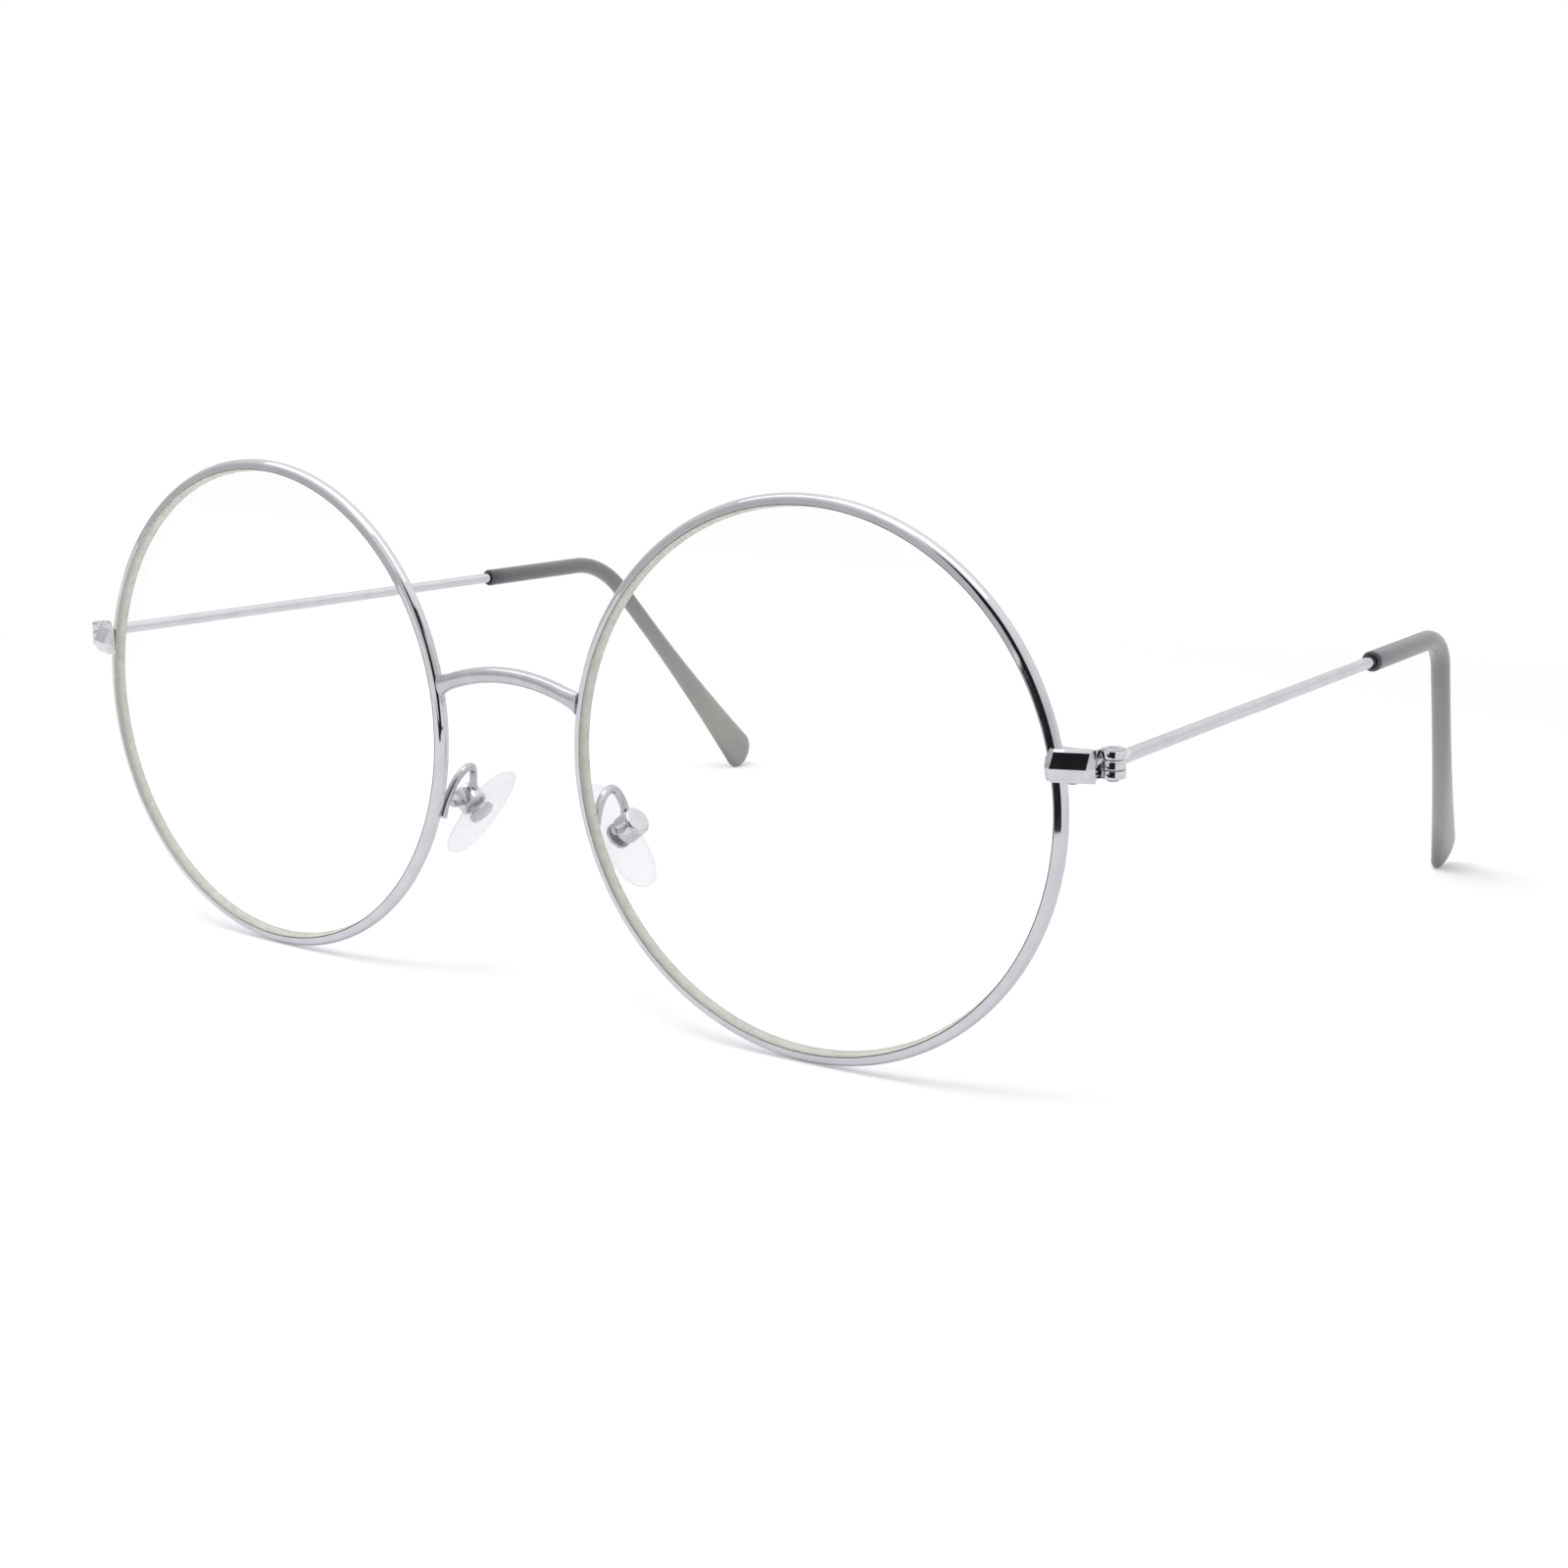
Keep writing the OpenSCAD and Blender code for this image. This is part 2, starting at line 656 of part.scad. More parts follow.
// A pad's rings run along its length, which is the frame's X
function pad_share(s) = pow(max(0, 1 - pow(abs(s), pad_power)), 1 / pad_power);
pad_steps = 9;
pad_rings = [
    for (i = [-pad_steps:pad_steps])
        let (s = sin(near_end * i / pad_steps))
        [[0, s * pad_l / 2, 0], [0, 1, 0], pad_w / 2 * pad_share(s), pad_t / 2 * pad_share(s)]
];

module nose_pad(side) {
    color(pad_clear) pad_frame(side) difference() {
        translate([0, 0, pad_mid]) rotate([0, 0, 90]) tube(pad_rings, pad_sides);
        pad_anchor();
    }
}

arm_bends = [
    [arm_foot, arm_foot + arm_rising, arm_top + arm_over_front, arm_top],
    [arm_top, arm_top + arm_over_back, arm_end + arm_falling, arm_end]
];
arm_line = concat(
    [for (b = arm_bends, i = [0:arm_steps - 1]) bezier(b[0], b[1], b[2], b[3], i / arm_steps)],
    [arm_end]
);
arm_rings = [
    for (i = [0:len(arm_line) - 1])
        let (ahead = arm_line[min(i + 1, len(arm_line) - 1)], behind = arm_line[max(i - 1, 0)])
        [arm_line[i], (ahead - behind) / norm(ahead - behind), arm_d / 2, arm_d / 2]
];

module pad_arm(side) {
    color(bright) difference() {
        front(side) tube(arm_rings, arm_sides);
        front(side) rim_space(rim_depth);
        pad_frame(side) translate([0, 0, -box_back]) cylinder(d = box_d, h = box_l, $fn = 64);
    }
}

bridge();
rim(1);  // left_rim
rim(-1);  // right_rim
lens(1);  // left_lens
lens(-1);  // right_lens
rim_lock_upper(1);  // left_rim_lock_upper
rim_lock_upper(-1);  // right_rim_lock_upper
rim_lock_lower(1);  // left_rim_lock_lower
rim_lock_lower(-1);  // right_rim_lock_lower
rim_lock_screw(1);  // left_rim_lock_screw
rim_lock_screw(-1);  // right_rim_lock_screw
end_piece(1);  // left_end_piece
end_piece(-1);  // right_end_piece
front_hinge(1);  // left_front_hinge
front_hinge(-1);  // right_front_hinge
hinge_screw(1);  // left_hinge_screw
hinge_screw(-1);  // right_hinge_screw
temple_hinge(1);  // left_temple_hinge
temple_hinge(-1);  // right_temple_hinge
temple_wire(1);  // left_temple_wire
temple_wire(-1);  // right_temple_wire
temple_tip(1);  // left_temple_tip
temple_tip(-1);  // right_temple_tip
pad_arm(1);  // left_pad_arm
pad_arm(-1);  // right_pad_arm
pad_box(1);  // left_pad_box
pad_box(-1);  // right_pad_box
pad_screw_piece(1);  // left_pad_screw
pad_screw_piece(-1);  // right_pad_screw
pad_core(1);  // left_pad_core
pad_core(-1);  // right_pad_core
nose_pad(1);  // left_nose_pad
nose_pad(-1);  // right_nose_pad
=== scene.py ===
import itertools

import bmesh
import bpy
import numpy as np
from mathutils import Matrix, Vector


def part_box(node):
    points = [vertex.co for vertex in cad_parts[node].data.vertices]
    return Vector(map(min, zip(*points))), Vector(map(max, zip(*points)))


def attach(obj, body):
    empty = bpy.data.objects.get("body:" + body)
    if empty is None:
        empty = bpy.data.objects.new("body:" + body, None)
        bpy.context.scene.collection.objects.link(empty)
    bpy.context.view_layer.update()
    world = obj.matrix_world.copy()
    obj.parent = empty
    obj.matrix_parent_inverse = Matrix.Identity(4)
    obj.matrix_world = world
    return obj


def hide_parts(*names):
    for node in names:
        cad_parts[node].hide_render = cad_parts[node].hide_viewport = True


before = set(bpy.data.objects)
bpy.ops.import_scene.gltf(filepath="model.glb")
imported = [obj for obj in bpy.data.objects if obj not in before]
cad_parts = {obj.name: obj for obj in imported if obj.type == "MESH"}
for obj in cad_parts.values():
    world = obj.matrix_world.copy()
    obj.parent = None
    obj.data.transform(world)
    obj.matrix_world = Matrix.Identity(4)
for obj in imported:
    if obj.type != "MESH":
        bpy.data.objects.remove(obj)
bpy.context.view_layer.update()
scene = bpy.context.scene
scene.view_settings.view_transform = "Standard"


def in_scene(name, data):
    """A new object of this data, linked to the scene."""
    made = bpy.data.objects.new(name, data)
    scene.collection.objects.link(made)
    return made


# The camera stands low, ahead of the left lens and to its outer side, and looks slightly down.
# Its lens is centred a little above the middle of the picture, which the shift gives.
camera = in_scene("camera", bpy.data.cameras.new("camera"))
camera_axes = (
    (0.81875, 0.5741, 0.00799),
    (-0.09708, 0.1247, 0.98743),
    (0.56589, -0.80924, 0.15783),
)
camera.matrix_world = Matrix.Translation((0.16899, -0.25327, 0.07597)) @ Matrix(
    camera_axes
).transposed().to_4x4()
camera.data.sensor_width = 36
camera.data.lens = 54
camera.data.shift_y = -0.0625
camera.data.clip_start = 0.01
scene.camera = camera


# The eyeglasses stand on a sheet of white board that runs out of sight, under two lamps that
# light only what is matt. Two cards that only polished surfaces see give the wire its lines: a
# black one beside the camera and a white strip overhead.
class Flow:
    """A value that runs through a node tree. Sums and products of it add Math nodes."""

    def __init__(self, tree, socket=None):
        self.tree, self.socket = tree, socket

    def node(self, kind, settings=None, sockets=None, out=0):
        """Adds one node: its settings first, then a value or a link for each named socket."""
        made = self.tree.nodes.new(kind)
        for name, value in (settings or {}).items():
            if name == "stops":
                ramp = made.color_ramp.elements
                while len(ramp) < len(value):
                    ramp.new(0.5)
                for stop, (at, colour) in zip(ramp, value):
                    stop.position, stop.color = at, colour
            else:
                setattr(made, name, value)
        for name, value in (sockets or {}).items():
            if isinstance(value, Flow):
                self.tree.links.new(value.socket, made.inputs[name])
            else:
                made.inputs[name].default_value = value
        return Flow(self.tree, made.outputs[out] if made.outputs else None)

    def maths(self, operation, first, second=0.0):
        return self.node("ShaderNodeMath", {"operation": operation}, {0: first, 1: second})

    def __add__(self, other):
        return self.maths("ADD", self, other)

    def __sub__(self, other):
        return self.maths("SUBTRACT", self, other)

    def __rsub__(self, other):
        return self.maths("SUBTRACT", other, self)

    def __mul__(self, other):
        return self.maths("MULTIPLY", self, other)

    def __pow__(self, other):
        return self.maths("POWER", self, other)

    __radd__, __rmul__ = __add__, __mul__

    def at_most(self, other):
        return self.maths("MINIMUM", self, other)

    def step(self, low, high):
        """Rises smoothly from 0 at low to 1 at high."""
        return self.node(
            "ShaderNodeMapRange",
            {"interpolation_type": "SMOOTHSTEP"},
            {"Value": self, "From Min": low, "From Max": high},
        )

    def tint(self, first, second):
        """Goes from the first colour to the second as this value goes from 0 to 1."""
        return self.node(
            "ShaderNodeMix", {"data_type": "RGBA"}, {0: self, 6: first, 7: second}, out=2
        )

    def shows(self):
        """Makes this shader the surface of its material."""
        self.node("ShaderNodeOutputMaterial", sockets={"Surface": self})


def who_looks(flow):
    """Two values: 1 for a ray from the camera or through glass, and 1 for a mirrored ray."""
    looked_at, through, mirrored = (
        flow.node("ShaderNodeLightPath", out=ray)
        for ray in ("Is Camera Ray", "Is Transmission Ray", "Is Glossy Ray")
    )
    return (looked_at + through).at_most(1), mirrored


def on_piece(flow):
    """The place on a piece, in m."""
    return flow.node("ShaderNodeTexCoord", out="Object")


def parts_of(flow, value):
    """The three parts of a place or way."""
    apart = flow.node("ShaderNodeSeparateXYZ", sockets={0: value})
    return [Flow(flow.tree, part) for part in apart.socket.node.outputs]


def room_light(world):
    """White where it is looked at, one soft level for matt surfaces, and for polished ones a
    room of 0.68, with up to 0.38 more overhead, 0.2 more behind and 0.05 more to the left."""
    world.use_nodes = True
    world.node_tree.nodes.clear()
    flow = Flow(world.node_tree)
    looked_at, mirrored = who_looks(flow)
    across, behind, up = parts_of(flow, flow.node("ShaderNodeTexCoord", out="Generated"))
    walls = 0.68 + 0.38 * up.step(0.15, 0.9) + 0.2 * behind.step(-0.3, 0.8) + 0.05 * across
    soft = 0.5
    lit = mirrored * walls + (1 - mirrored) * soft
    strength = looked_at + (1 - looked_at) * lit
    colour = looked_at.tint((0.985, 0.985, 1, 1), (1, 1, 1, 1))
    light = flow.node("ShaderNodeBackground", sockets={"Color": colour, "Strength": strength})
    flow.node("ShaderNodeOutputWorld", sockets={"Surface": light})


room = bpy.data.worlds.new("room")
scene.world = room
room_light(room)


def flat_card(name, corners, faces=((0, 1, 2, 3),)):
    """A piece of card through its corners, flat or folded."""
    mesh = bpy.data.meshes.new(name)
    mesh.from_pydata(corners, [], faces)
    card = in_scene(name, mesh)
    return card


def bare_material(name):
    """A new material with nothing in it yet, and the flow that fills it."""
    made = bpy.data.materials.new(name)
    made.use_nodes = True
    made.node_tree.nodes.clear()
    return made, Flow(made.node_tree)


def board_white(fade_from, fade_to):
    """White board that keeps the soft shadows, and turns plain white between two distances."""
    board, flow = bare_material("white_board")
    looked_at, mirrored = who_looks(flow)
    matt = flow.node("ShaderNodeBsdfDiffuse", sockets={"Color": (0.88, 0.885, 0.9, 1)})
    glow = flow.node(
        "ShaderNodeEmission", sockets={"Strength": (looked_at + mirrored * 0.5) * 0.25}
    )
    near = flow.node("ShaderNodeAddShader", sockets={0: matt, 1: glow})
    away = flow.node(
        "ShaderNodeVectorMath", {"operation": "LENGTH"}, {0: on_piece(flow)}, out="Value"
    )
    plain = flow.node("ShaderNodeEmission", sockets={"Strength": 1.0})
    flow.node(
        "ShaderNodeMixShader", sockets={0: away.step(fade_from, fade_to), 1: near, 2: plain}
    ).shows()
    return board


half = 3.0
floor = flat_card(
    "floor", [(-half, -half, 0), (half, -half, 0), (half, half, 0), (-half, half, 0)]
)
floor.data.materials.append(board_white(fade_from=0.13, fade_to=0.3))

hinge_spot, card_turn, card_away = (0.068, -0.064), 13, 0.148


def card_corner(sideways, height, away=card_away):
    """A corner of the black card, at a height, that lies so many degrees outwards of straight
    ahead of the left hinge. The card faces the hinge at card_turn degrees."""
    way = np.radians(sideways)
    far = away / np.cos(way - np.radians(card_turn))
    return hinge_spot[0] + far * np.sin(way), hinge_spot[1] - far * np.cos(way), height


black_card = flat_card(
    "black_card",
    [
        card_corner(-10.5, 0.0006), card_corner(45, 0.0006), card_corner(45, 0.21),
        card_corner(-4, 0.21), card_corner(-9.5, 0.041), card_corner(45, 0.0005, 0.075),
        card_corner(4, 0.0005, 0.088), card_corner(-17, 0.0005, 0.078),
        card_corner(-38, 0.0005, 0.09), card_corner(-38, 0.0006),
    ],
    ((0, 1, 2, 3, 4), (1, 5, 6, 7, 8, 9, 0)),
)
strip_up, strip_ahead, tongue_ahead = 0.6, -0.24, -0.39
strip_edge = [
    (-0.6, strip_ahead), (-0.09, strip_ahead), (-0.06, tongue_ahead), (0.06, tongue_ahead),
    (0.1, strip_ahead), (0.42, strip_ahead), (0.42, 0), (-0.6, 0),
]
white_strip = flat_card("white_strip", [(x, y, strip_up) for x, y in strip_edge], (range(8),))


def only_mirrored(card, colour, strength):
    """Gives a card its own even light, and lets only polished surfaces see it."""
    glow, flow = bare_material(card.name)
    flow.node("ShaderNodeEmission", sockets={"Color": colour, "Strength": strength}).shows()
    card.data.materials.append(glow)
    for ray in ("camera", "diffuse", "transmission", "shadow", "volume_scatter"):
        setattr(card, "visible_" + ray, False)


only_mirrored(black_card, (0.02, 0.017, 0.02, 1), 1.0)
only_mirrored(white_strip, (1, 1, 1, 1), 2.0)


def lamp(name, at, towards, size, watts):
    """A square lamp of the given width that faces a point and shows in no polished surface."""
    light = bpy.data.lights.new(name, "AREA")
    light.shape, light.size, light.energy = "SQUARE", size, watts
    holder = in_scene(name, light)
    way = Vector(towards) - Vector(at)
    holder.matrix_world = (
        Matrix.Translation(at) @ way.to_track_quat("-Z", "Y").to_matrix().to_4x4()
    )
    holder.visible_glossy = False


lamp("lamp_over", (-0.02, -0.2, 0.6), (0, -0.03, 0), 0.36, 1.55)
lamp("lamp_side", (-0.45, -0.26, 0.61), (0, 0, 0.02), 0.6, 1.5)


# The two rims are drawn nickel wire with a crowned front and a V groove inside, rolled to a ring
# and cut at the outer side, where the lock closes them. They are plated and polished bright.
sides = ((1, "left"), (-1, "right"))
lean, middle_y, lift = np.radians(1.87543), 62.9093, 29.2001
rim_x, rim_r, groove_r, inner_r, wire_mid_r = 38.5, 29.2, 28.54, 28.05, 28.87
face_angle, slit_at, slit_half = np.radians(1.8), np.radians(10.4775), np.radians(0.157)


def turned(points, axis, angle):
    """Turns points about a coordinate axis by an angle in radians."""
    a, b = [(1, 2), (2, 0), (0, 1)][axis]
    out = points.copy()
    out[..., a] = points[..., a] * np.cos(angle) - points[..., b] * np.sin(angle)
    out[..., b] = points[..., a] * np.sin(angle) + points[..., b] * np.cos(angle)
    return out


def stood_up(points, side):
    """From the front's own frame, in mm with the lens centres level with its middle, to the
    standing part: turned over for the right side, leant forward, and set on the ground in m."""
    out = points * (side, 1, 1)
    return (turned(out, 0, lean) + (0, -middle_y, lift)) / 1000


def ring_frame(points):
    """From a ring about +Z, its front, to the left lens's place in the front's frame."""
    out = np.stack([points[..., 0], -points[..., 2], points[..., 1]], -1)
    return turned(out, 2, face_angle) + (rim_x, 0, 0)


def full_turn(steps):
    """Angles round a whole turn, without the last one, which is the first again."""
    return np.linspace(0, 2 * np.pi, steps, endpoint=False)


def rounded(corners, radii, steps=5, hold=0.02):
    """A closed outline through its corners, each rounded by a quadratic curve that starts and
    ends radius * tan(half the turn) away from the corner, at most 0.46 of a side. One more point
    beyond each end, hold away but at most 0.03 of a side, keeps the flat between two corners
    flat in the light."""
    at = np.array(corners, float)
    before, after = np.roll(at, 1, 0) - at, np.roll(at, -1, 0) - at
    long_b, long_a = np.linalg.norm(before, axis=1), np.linalg.norm(after, axis=1)
    before, after = before / long_b[:, None], after / long_a[:, None]
    turn = np.pi - np.arccos(np.clip((before * after).sum(1), -1, 1))
    cut = np.minimum(
        np.array(radii) * np.tan(turn / 2), 0.46 * np.minimum(long_b, long_a)
    )[:, None]
    t = np.linspace(0, 1, steps)[None, :, None]
    start, end = (at + before * cut)[:, None], (at + after * cut)[:, None]
    curve = (1 - t) ** 2 * start + 2 * t * (1 - t) * at[:, None] + t**2 * end
    spare_b, spare_a = (np.minimum(hold, 0.03 * side)[:, None] for side in (long_b, long_a))
    held_b, held_a = start[:, 0] + before * spare_b, end[:, 0] + after * spare_a
    return np.concatenate([held_b[:, None], curve, held_a[:, None]], 1).reshape(-1, 2)


def skin(name, rings, finish, body, stands_for, hubs=None, split=None):
    """Makes a closed piece from rings of points, rings[i, k], in m. Neighbouring points of
    neighbouring rings are joined by two triangles, and each end ring closes on a hub point,
    which is its own middle where hubs gives no other. Faces are turned so that the volume is
    positive. Where there are several finishes, split gives the number of each ring band's own.
    The attribute grain holds (cos, sin, length) in mm, for marks that follow the wire."""
    n, m = rings.shape[:2]
    i, k = np.meshgrid(np.arange(n - 1), np.arange(m), indexing="ij")
    a, b = i * m + k, i * m + (k + 1) % m
    between = np.stack([np.stack([a, b, b + m], -1), np.stack([a, b + m, a + m], -1)], 2)
    k, far = np.arange(m), (n - 1) * m
    near_end = np.stack([np.full(m, n * m), (k + 1) % m, k], -1)
    far_end = np.stack([np.full(m, n * m + 1), far + k, far + (k + 1) % m], -1)
    faces = np.concatenate([between.reshape(-1, 3), near_end, far_end])
    band = np.r_[np.repeat(i.reshape(-1), 2), np.zeros(m, int), np.full(m, n - 2)]
    hubs = rings[[0, -1]].mean(1) if hubs is None else hubs
    points = np.concatenate([rings.reshape(-1, 3), hubs])
    middle = rings.mean(1)
    along = np.r_[0, np.cumsum(np.linalg.norm(np.diff(middle, axis=0), axis=1))] * 1000
    spread = np.linalg.norm(rings - middle[:, None], axis=2) * 1000
    turn = full_turn(m)
    grain = np.stack(
        [spread * np.cos(turn), spread * np.sin(turn), np.repeat(along[:, None], m, 1)], -1
    ).reshape(-1, 3)
    grain = np.concatenate([grain, [(0, 0, along[0]), (0, 0, along[-1])]])
    corner = points[faces]
    volume = np.einsum("ij,ij->i", corner[:, 0], np.cross(corner[:, 1], corner[:, 2])).sum()
    if volume < 0:
        faces = faces[:, ::-1]
    mesh = bpy.data.meshes.new(name)
    mesh.from_pydata(points, [], faces)
    mesh.polygons.foreach_set("use_smooth", np.ones(len(faces), bool))
    for one in [finish] if split is None else finish:
        mesh.materials.append(one)
    if split is not None:
        mesh.polygons.foreach_set("material_index", np.array(split)[band].astype(np.int32))
    mark = mesh.attributes.new("grain", "FLOAT_VECTOR", "POINT")
    mark.data.foreach_set("vector", grain.reshape(-1).astype(np.float32))
    mesh.update()
    piece = in_scene(name, mesh)
    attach(piece, body)
    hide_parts(*stands_for)
    return piece


def surface(name, **constants):
    """A new material with one shader, whose plain values are set on its own sockets."""
    made, flow = bare_material(name)
    shader = flow.node(
        "ShaderNodeBsdfPrincipled",
        sockets={key.replace("_", " "): value for key, value in constants.items()},
    )
    shader.shows()
    return made, flow, shader.socket.node.inputs


def feed(flow, sockets, **links):
    """Links what varies over the surface to the shader's sockets."""
    for key, value in links.items():
        flow.tree.links.new(value.socket, sockets[key.replace("_", " ")])


def noise(flow, where, scale, detail=2.0):
    return flow.node(
        "ShaderNodeTexNoise", sockets={"Vector": where, "Scale": scale, "Detail": detail}
    )


def marked(flow, name):
    """What an attribute of the mesh holds at a place."""
    return flow.node("ShaderNodeAttribute", {"attribute_name": name}, out="Vector")


def stretched(flow, where, scale):
    return flow.node("ShaderNodeMapping", sockets={"Vector": where, "Scale": scale})


def bumps(flow, height, strength, depth):
    """The surface's own unevenness, of the given depth in m where height goes from 0 to 1."""
    return flow.node(
        "ShaderNodeBump", sockets={"Strength": strength, "Distance": depth, "Height": height}
    )


def bright_plate(name, pale, dull, polish, depth=0.0004):
    """Bright nickel plate. Its colour drifts between two greys in patches a few mm wide, hair
    lines from the polishing mop follow the wire, and tiny pits and a slow wave break the
    reflections."""
    made, flow, sockets = surface(name, Metallic=1.0)
    place = on_piece(flow)
    patches = noise(flow, place, 330, 3)
    hairs = noise(flow, stretched(flow, marked(flow, "grain"), (9, 9, 0.35)), 1.4, 3)
    pits = noise(flow, place, 4200, 1).step(0.74, 0.8)
    wear = 0.04 * patches.step(0.4, 0.75) + 0.03 * hairs.step(0.45, 0.7) + 0.1 * pits
    height = 0.5 * noise(flow, place, 210, 1) + 0.008 * hairs - 0.01 * pits
    feed(
        flow, sockets,
        Base_Color=patches.step(0.3, 0.7).tint(dull, pale),
        Roughness=polish + wear,
        Normal=bumps(flow, height, 0.35, depth),
    )
    return made


wire_bright = bright_plate(
    "bright_nickel_wire", (0.64, 0.64, 0.665, 1), (0.59, 0.59, 0.615, 1), 0.045
)
rim_corners = [
    (inner_r, 0.56), (28.1, 0.7), (28.8, 0.577), (rim_r, 0), (29.1, -0.58), (28.7, -0.7),
    (28.1, -0.7), (inner_r, -0.56), (inner_r, -0.4), (groove_r, 0), (inner_r, 0.4),
]
rim_radii = [0.04, 0.05, 0.62, 1.0, 0.2, 0.3, 0.05, 0.04, 0.03, 0.03, 0.03]


def rolled_ring(outline, angles, side):
    """The outline, as (radius, ahead), carried round the lens's middle: each of its points goes
    round as (radius * cos, radius * sin, ahead)."""
    r, ahead = outline[:, 0], outline[:, 1]
    flat = np.ones_like(angles)[:, None]
    points = np.stack(
        [np.cos(angles)[:, None] * r, np.sin(angles)[:, None] * r, flat * ahead], -1
    )
    return stood_up(ring_frame(points), side)


round_angles = np.linspace(slit_at + slit_half, slit_at + 2 * np.pi - slit_half, 361)
for side, hand in sides:
    rings = rolled_ring(rounded(rim_corners, rim_radii), round_angles, side)
    inside = rolled_ring(np.array([[wire_mid_r, 0.0]]), round_angles[[0, -1]], side)[:, 0]
    skin(
        "rim_" + hand, rings, wire_bright, "front", [hand + "_rim"], hubs=inside
    )


# The two lenses are clear hard-coated plastic, ground to a shallow curve and bevelled to a
# ridge that sits in the rim's groove. The ground edge, and a narrow bevel round the back that
# takes off its sharpness, are left matt and look faintly yellow.
curve_r, lens_t, lens_edge_r, lens_ridge_r, back_bevel = 265.0, 1.396, 28.01, 28.5, 0.28
ridge_half, land_back, hold = 0.36, -0.58, 0.01


def let_through(flow, glass, tint, veil, edge_veil, power):
    """A clear piece whose surface veils what is behind it by veil, and by edge_veil more where
    it is seen along the surface: veil + edge_veil * (1 - cos(slant))**power."""
    slant = flow.node("ShaderNodeLayerWeight", sockets={"Blend": 0.5}, out="Facing")
    past = flow.node("ShaderNodeBsdfTransparent", sockets={"Color": tint})
    share = veil + edge_veil * slant**power
    return flow.node("ShaderNodeMixShader", sockets={0: share, 1: past, 2: glass})


def clear_lens():
    """Clear plastic with a hard coat: it mirrors a little, more at a slant, and faint wiping
    marks dull the mirror image."""
    made, flow = bare_material("clear_lens")
    wiped = noise(flow, on_piece(flow), 120, 3).step(0.4, 0.75)
    coat = flow.node(
        "ShaderNodeBsdfPrincipled",
        sockets={
            "Metallic": 1.0,
            "Roughness": 0.01 + 0.05 * wiped,
            "Base Color": wiped.tint((0.93, 0.97, 0.95, 1), (0.97, 0.98, 1, 1)),
        },
    )
    tint, veil = (0.997, 1, 0.999, 1), 0.01 + 0.012 * wiped
    let_through(flow, coat, tint, veil, edge_veil=0.8, power=5).shows()
    return made


def ground_edge(front_at, back_at):
    """Matt ground plastic, yellowish, with painted shade: darker at the front of the edge,
    where the rim's groove shades it, and paler towards the back, as light comes in from behind.
    It has darker spots where polish has caught in it. The edge runs from front_at to back_at,
    in mm behind the middle of the lens's front."""
    made, flow, sockets = surface("ground_lens_edge", Specular_IOR_Level=0.0)
    # Painted shade: the colour is darker at the front of the edge, where the rim's groove shades
    # it, and paler towards the back.
    back = parts_of(flow, marked(flow, "grain"))[2].step(front_at, back_at)
    dirt = noise(flow, on_piece(flow), 900, 3)
    spots = dirt.step(0.3, 0.75)
    pale = spots.tint((0.86, 0.84, 0.785, 1), (0.76, 0.75, 0.69, 1))
    dark = spots.tint((0.58, 0.58, 0.52, 1), (0.5, 0.5, 0.44, 1))
    feed(flow, sockets, Base_Color=back.tint(dark, pale), Roughness=0.42 + 0.2 * dirt)
    return made


lens_clear, lens_edge = clear_lens(), ground_edge(front_at=1.5, back_at=2.75)
out_to = np.sin(np.linspace(0, np.pi / 2, 25)[1:])
front_r, back_r = lens_edge_r * out_to, (lens_edge_r - back_bevel) * out_to[::-1]
edge_z = np.sqrt(curve_r**2 - lens_edge_r**2)
front_face = np.stack([front_r, np.sqrt(curve_r**2 - front_r**2) - edge_z + lens_t / 2], -1)
back_face = np.stack([back_r, np.sqrt(curve_r**2 - back_r**2) - edge_z - lens_t / 2], -1)
lens_side = [
    (lens_edge_r, lens_t / 2 - hold), (lens_edge_r, ridge_half + hold),
    (lens_edge_r + hold, ridge_half - hold), (lens_ridge_r - hold, hold),
    (lens_ridge_r - hold, -hold), (lens_edge_r + hold, hold - ridge_half),
    (lens_edge_r, -hold - ridge_half), (lens_edge_r, land_back + hold), (lens_edge_r, land_back),
]
lens_outline = np.concatenate([front_face, lens_side, back_face])
ground = np.zeros(len(lens_outline) - 1, int)
ground[len(front_face) - 1 : len(front_face) + len(lens_side)] = 1
crown = curve_r - edge_z
poles = np.array([[0, 0, crown + lens_t / 2], [0, 0, crown - lens_t / 2]])
for side, hand in sides:
    rings = rolled_ring(lens_outline, full_turn(240), side).transpose(1, 0, 2)
    skin(
        "lens_" + hand, rings, [lens_clear, lens_edge], "front",
        [hand + "_lens"], hubs=stood_up(ring_frame(poles), side), split=ground,
    )


# The bridge is a thicker round wire, arched over the nose. Its two ends are swelled and brazed
# to the rims, with a small bead of solder that is polished over.
bridge_arc_r, bridge_up, bridge_y, bridge_half, bridge_wire_r = 25.1, 7.4, -0.9014, 9.818, 0.9
swell_l, swell_up, swell_thin, bead_l, bead_up, bead_out = 2.4, 0.22, 0.16, 0.32, 0.1, 0.02
braze_in = 0.05


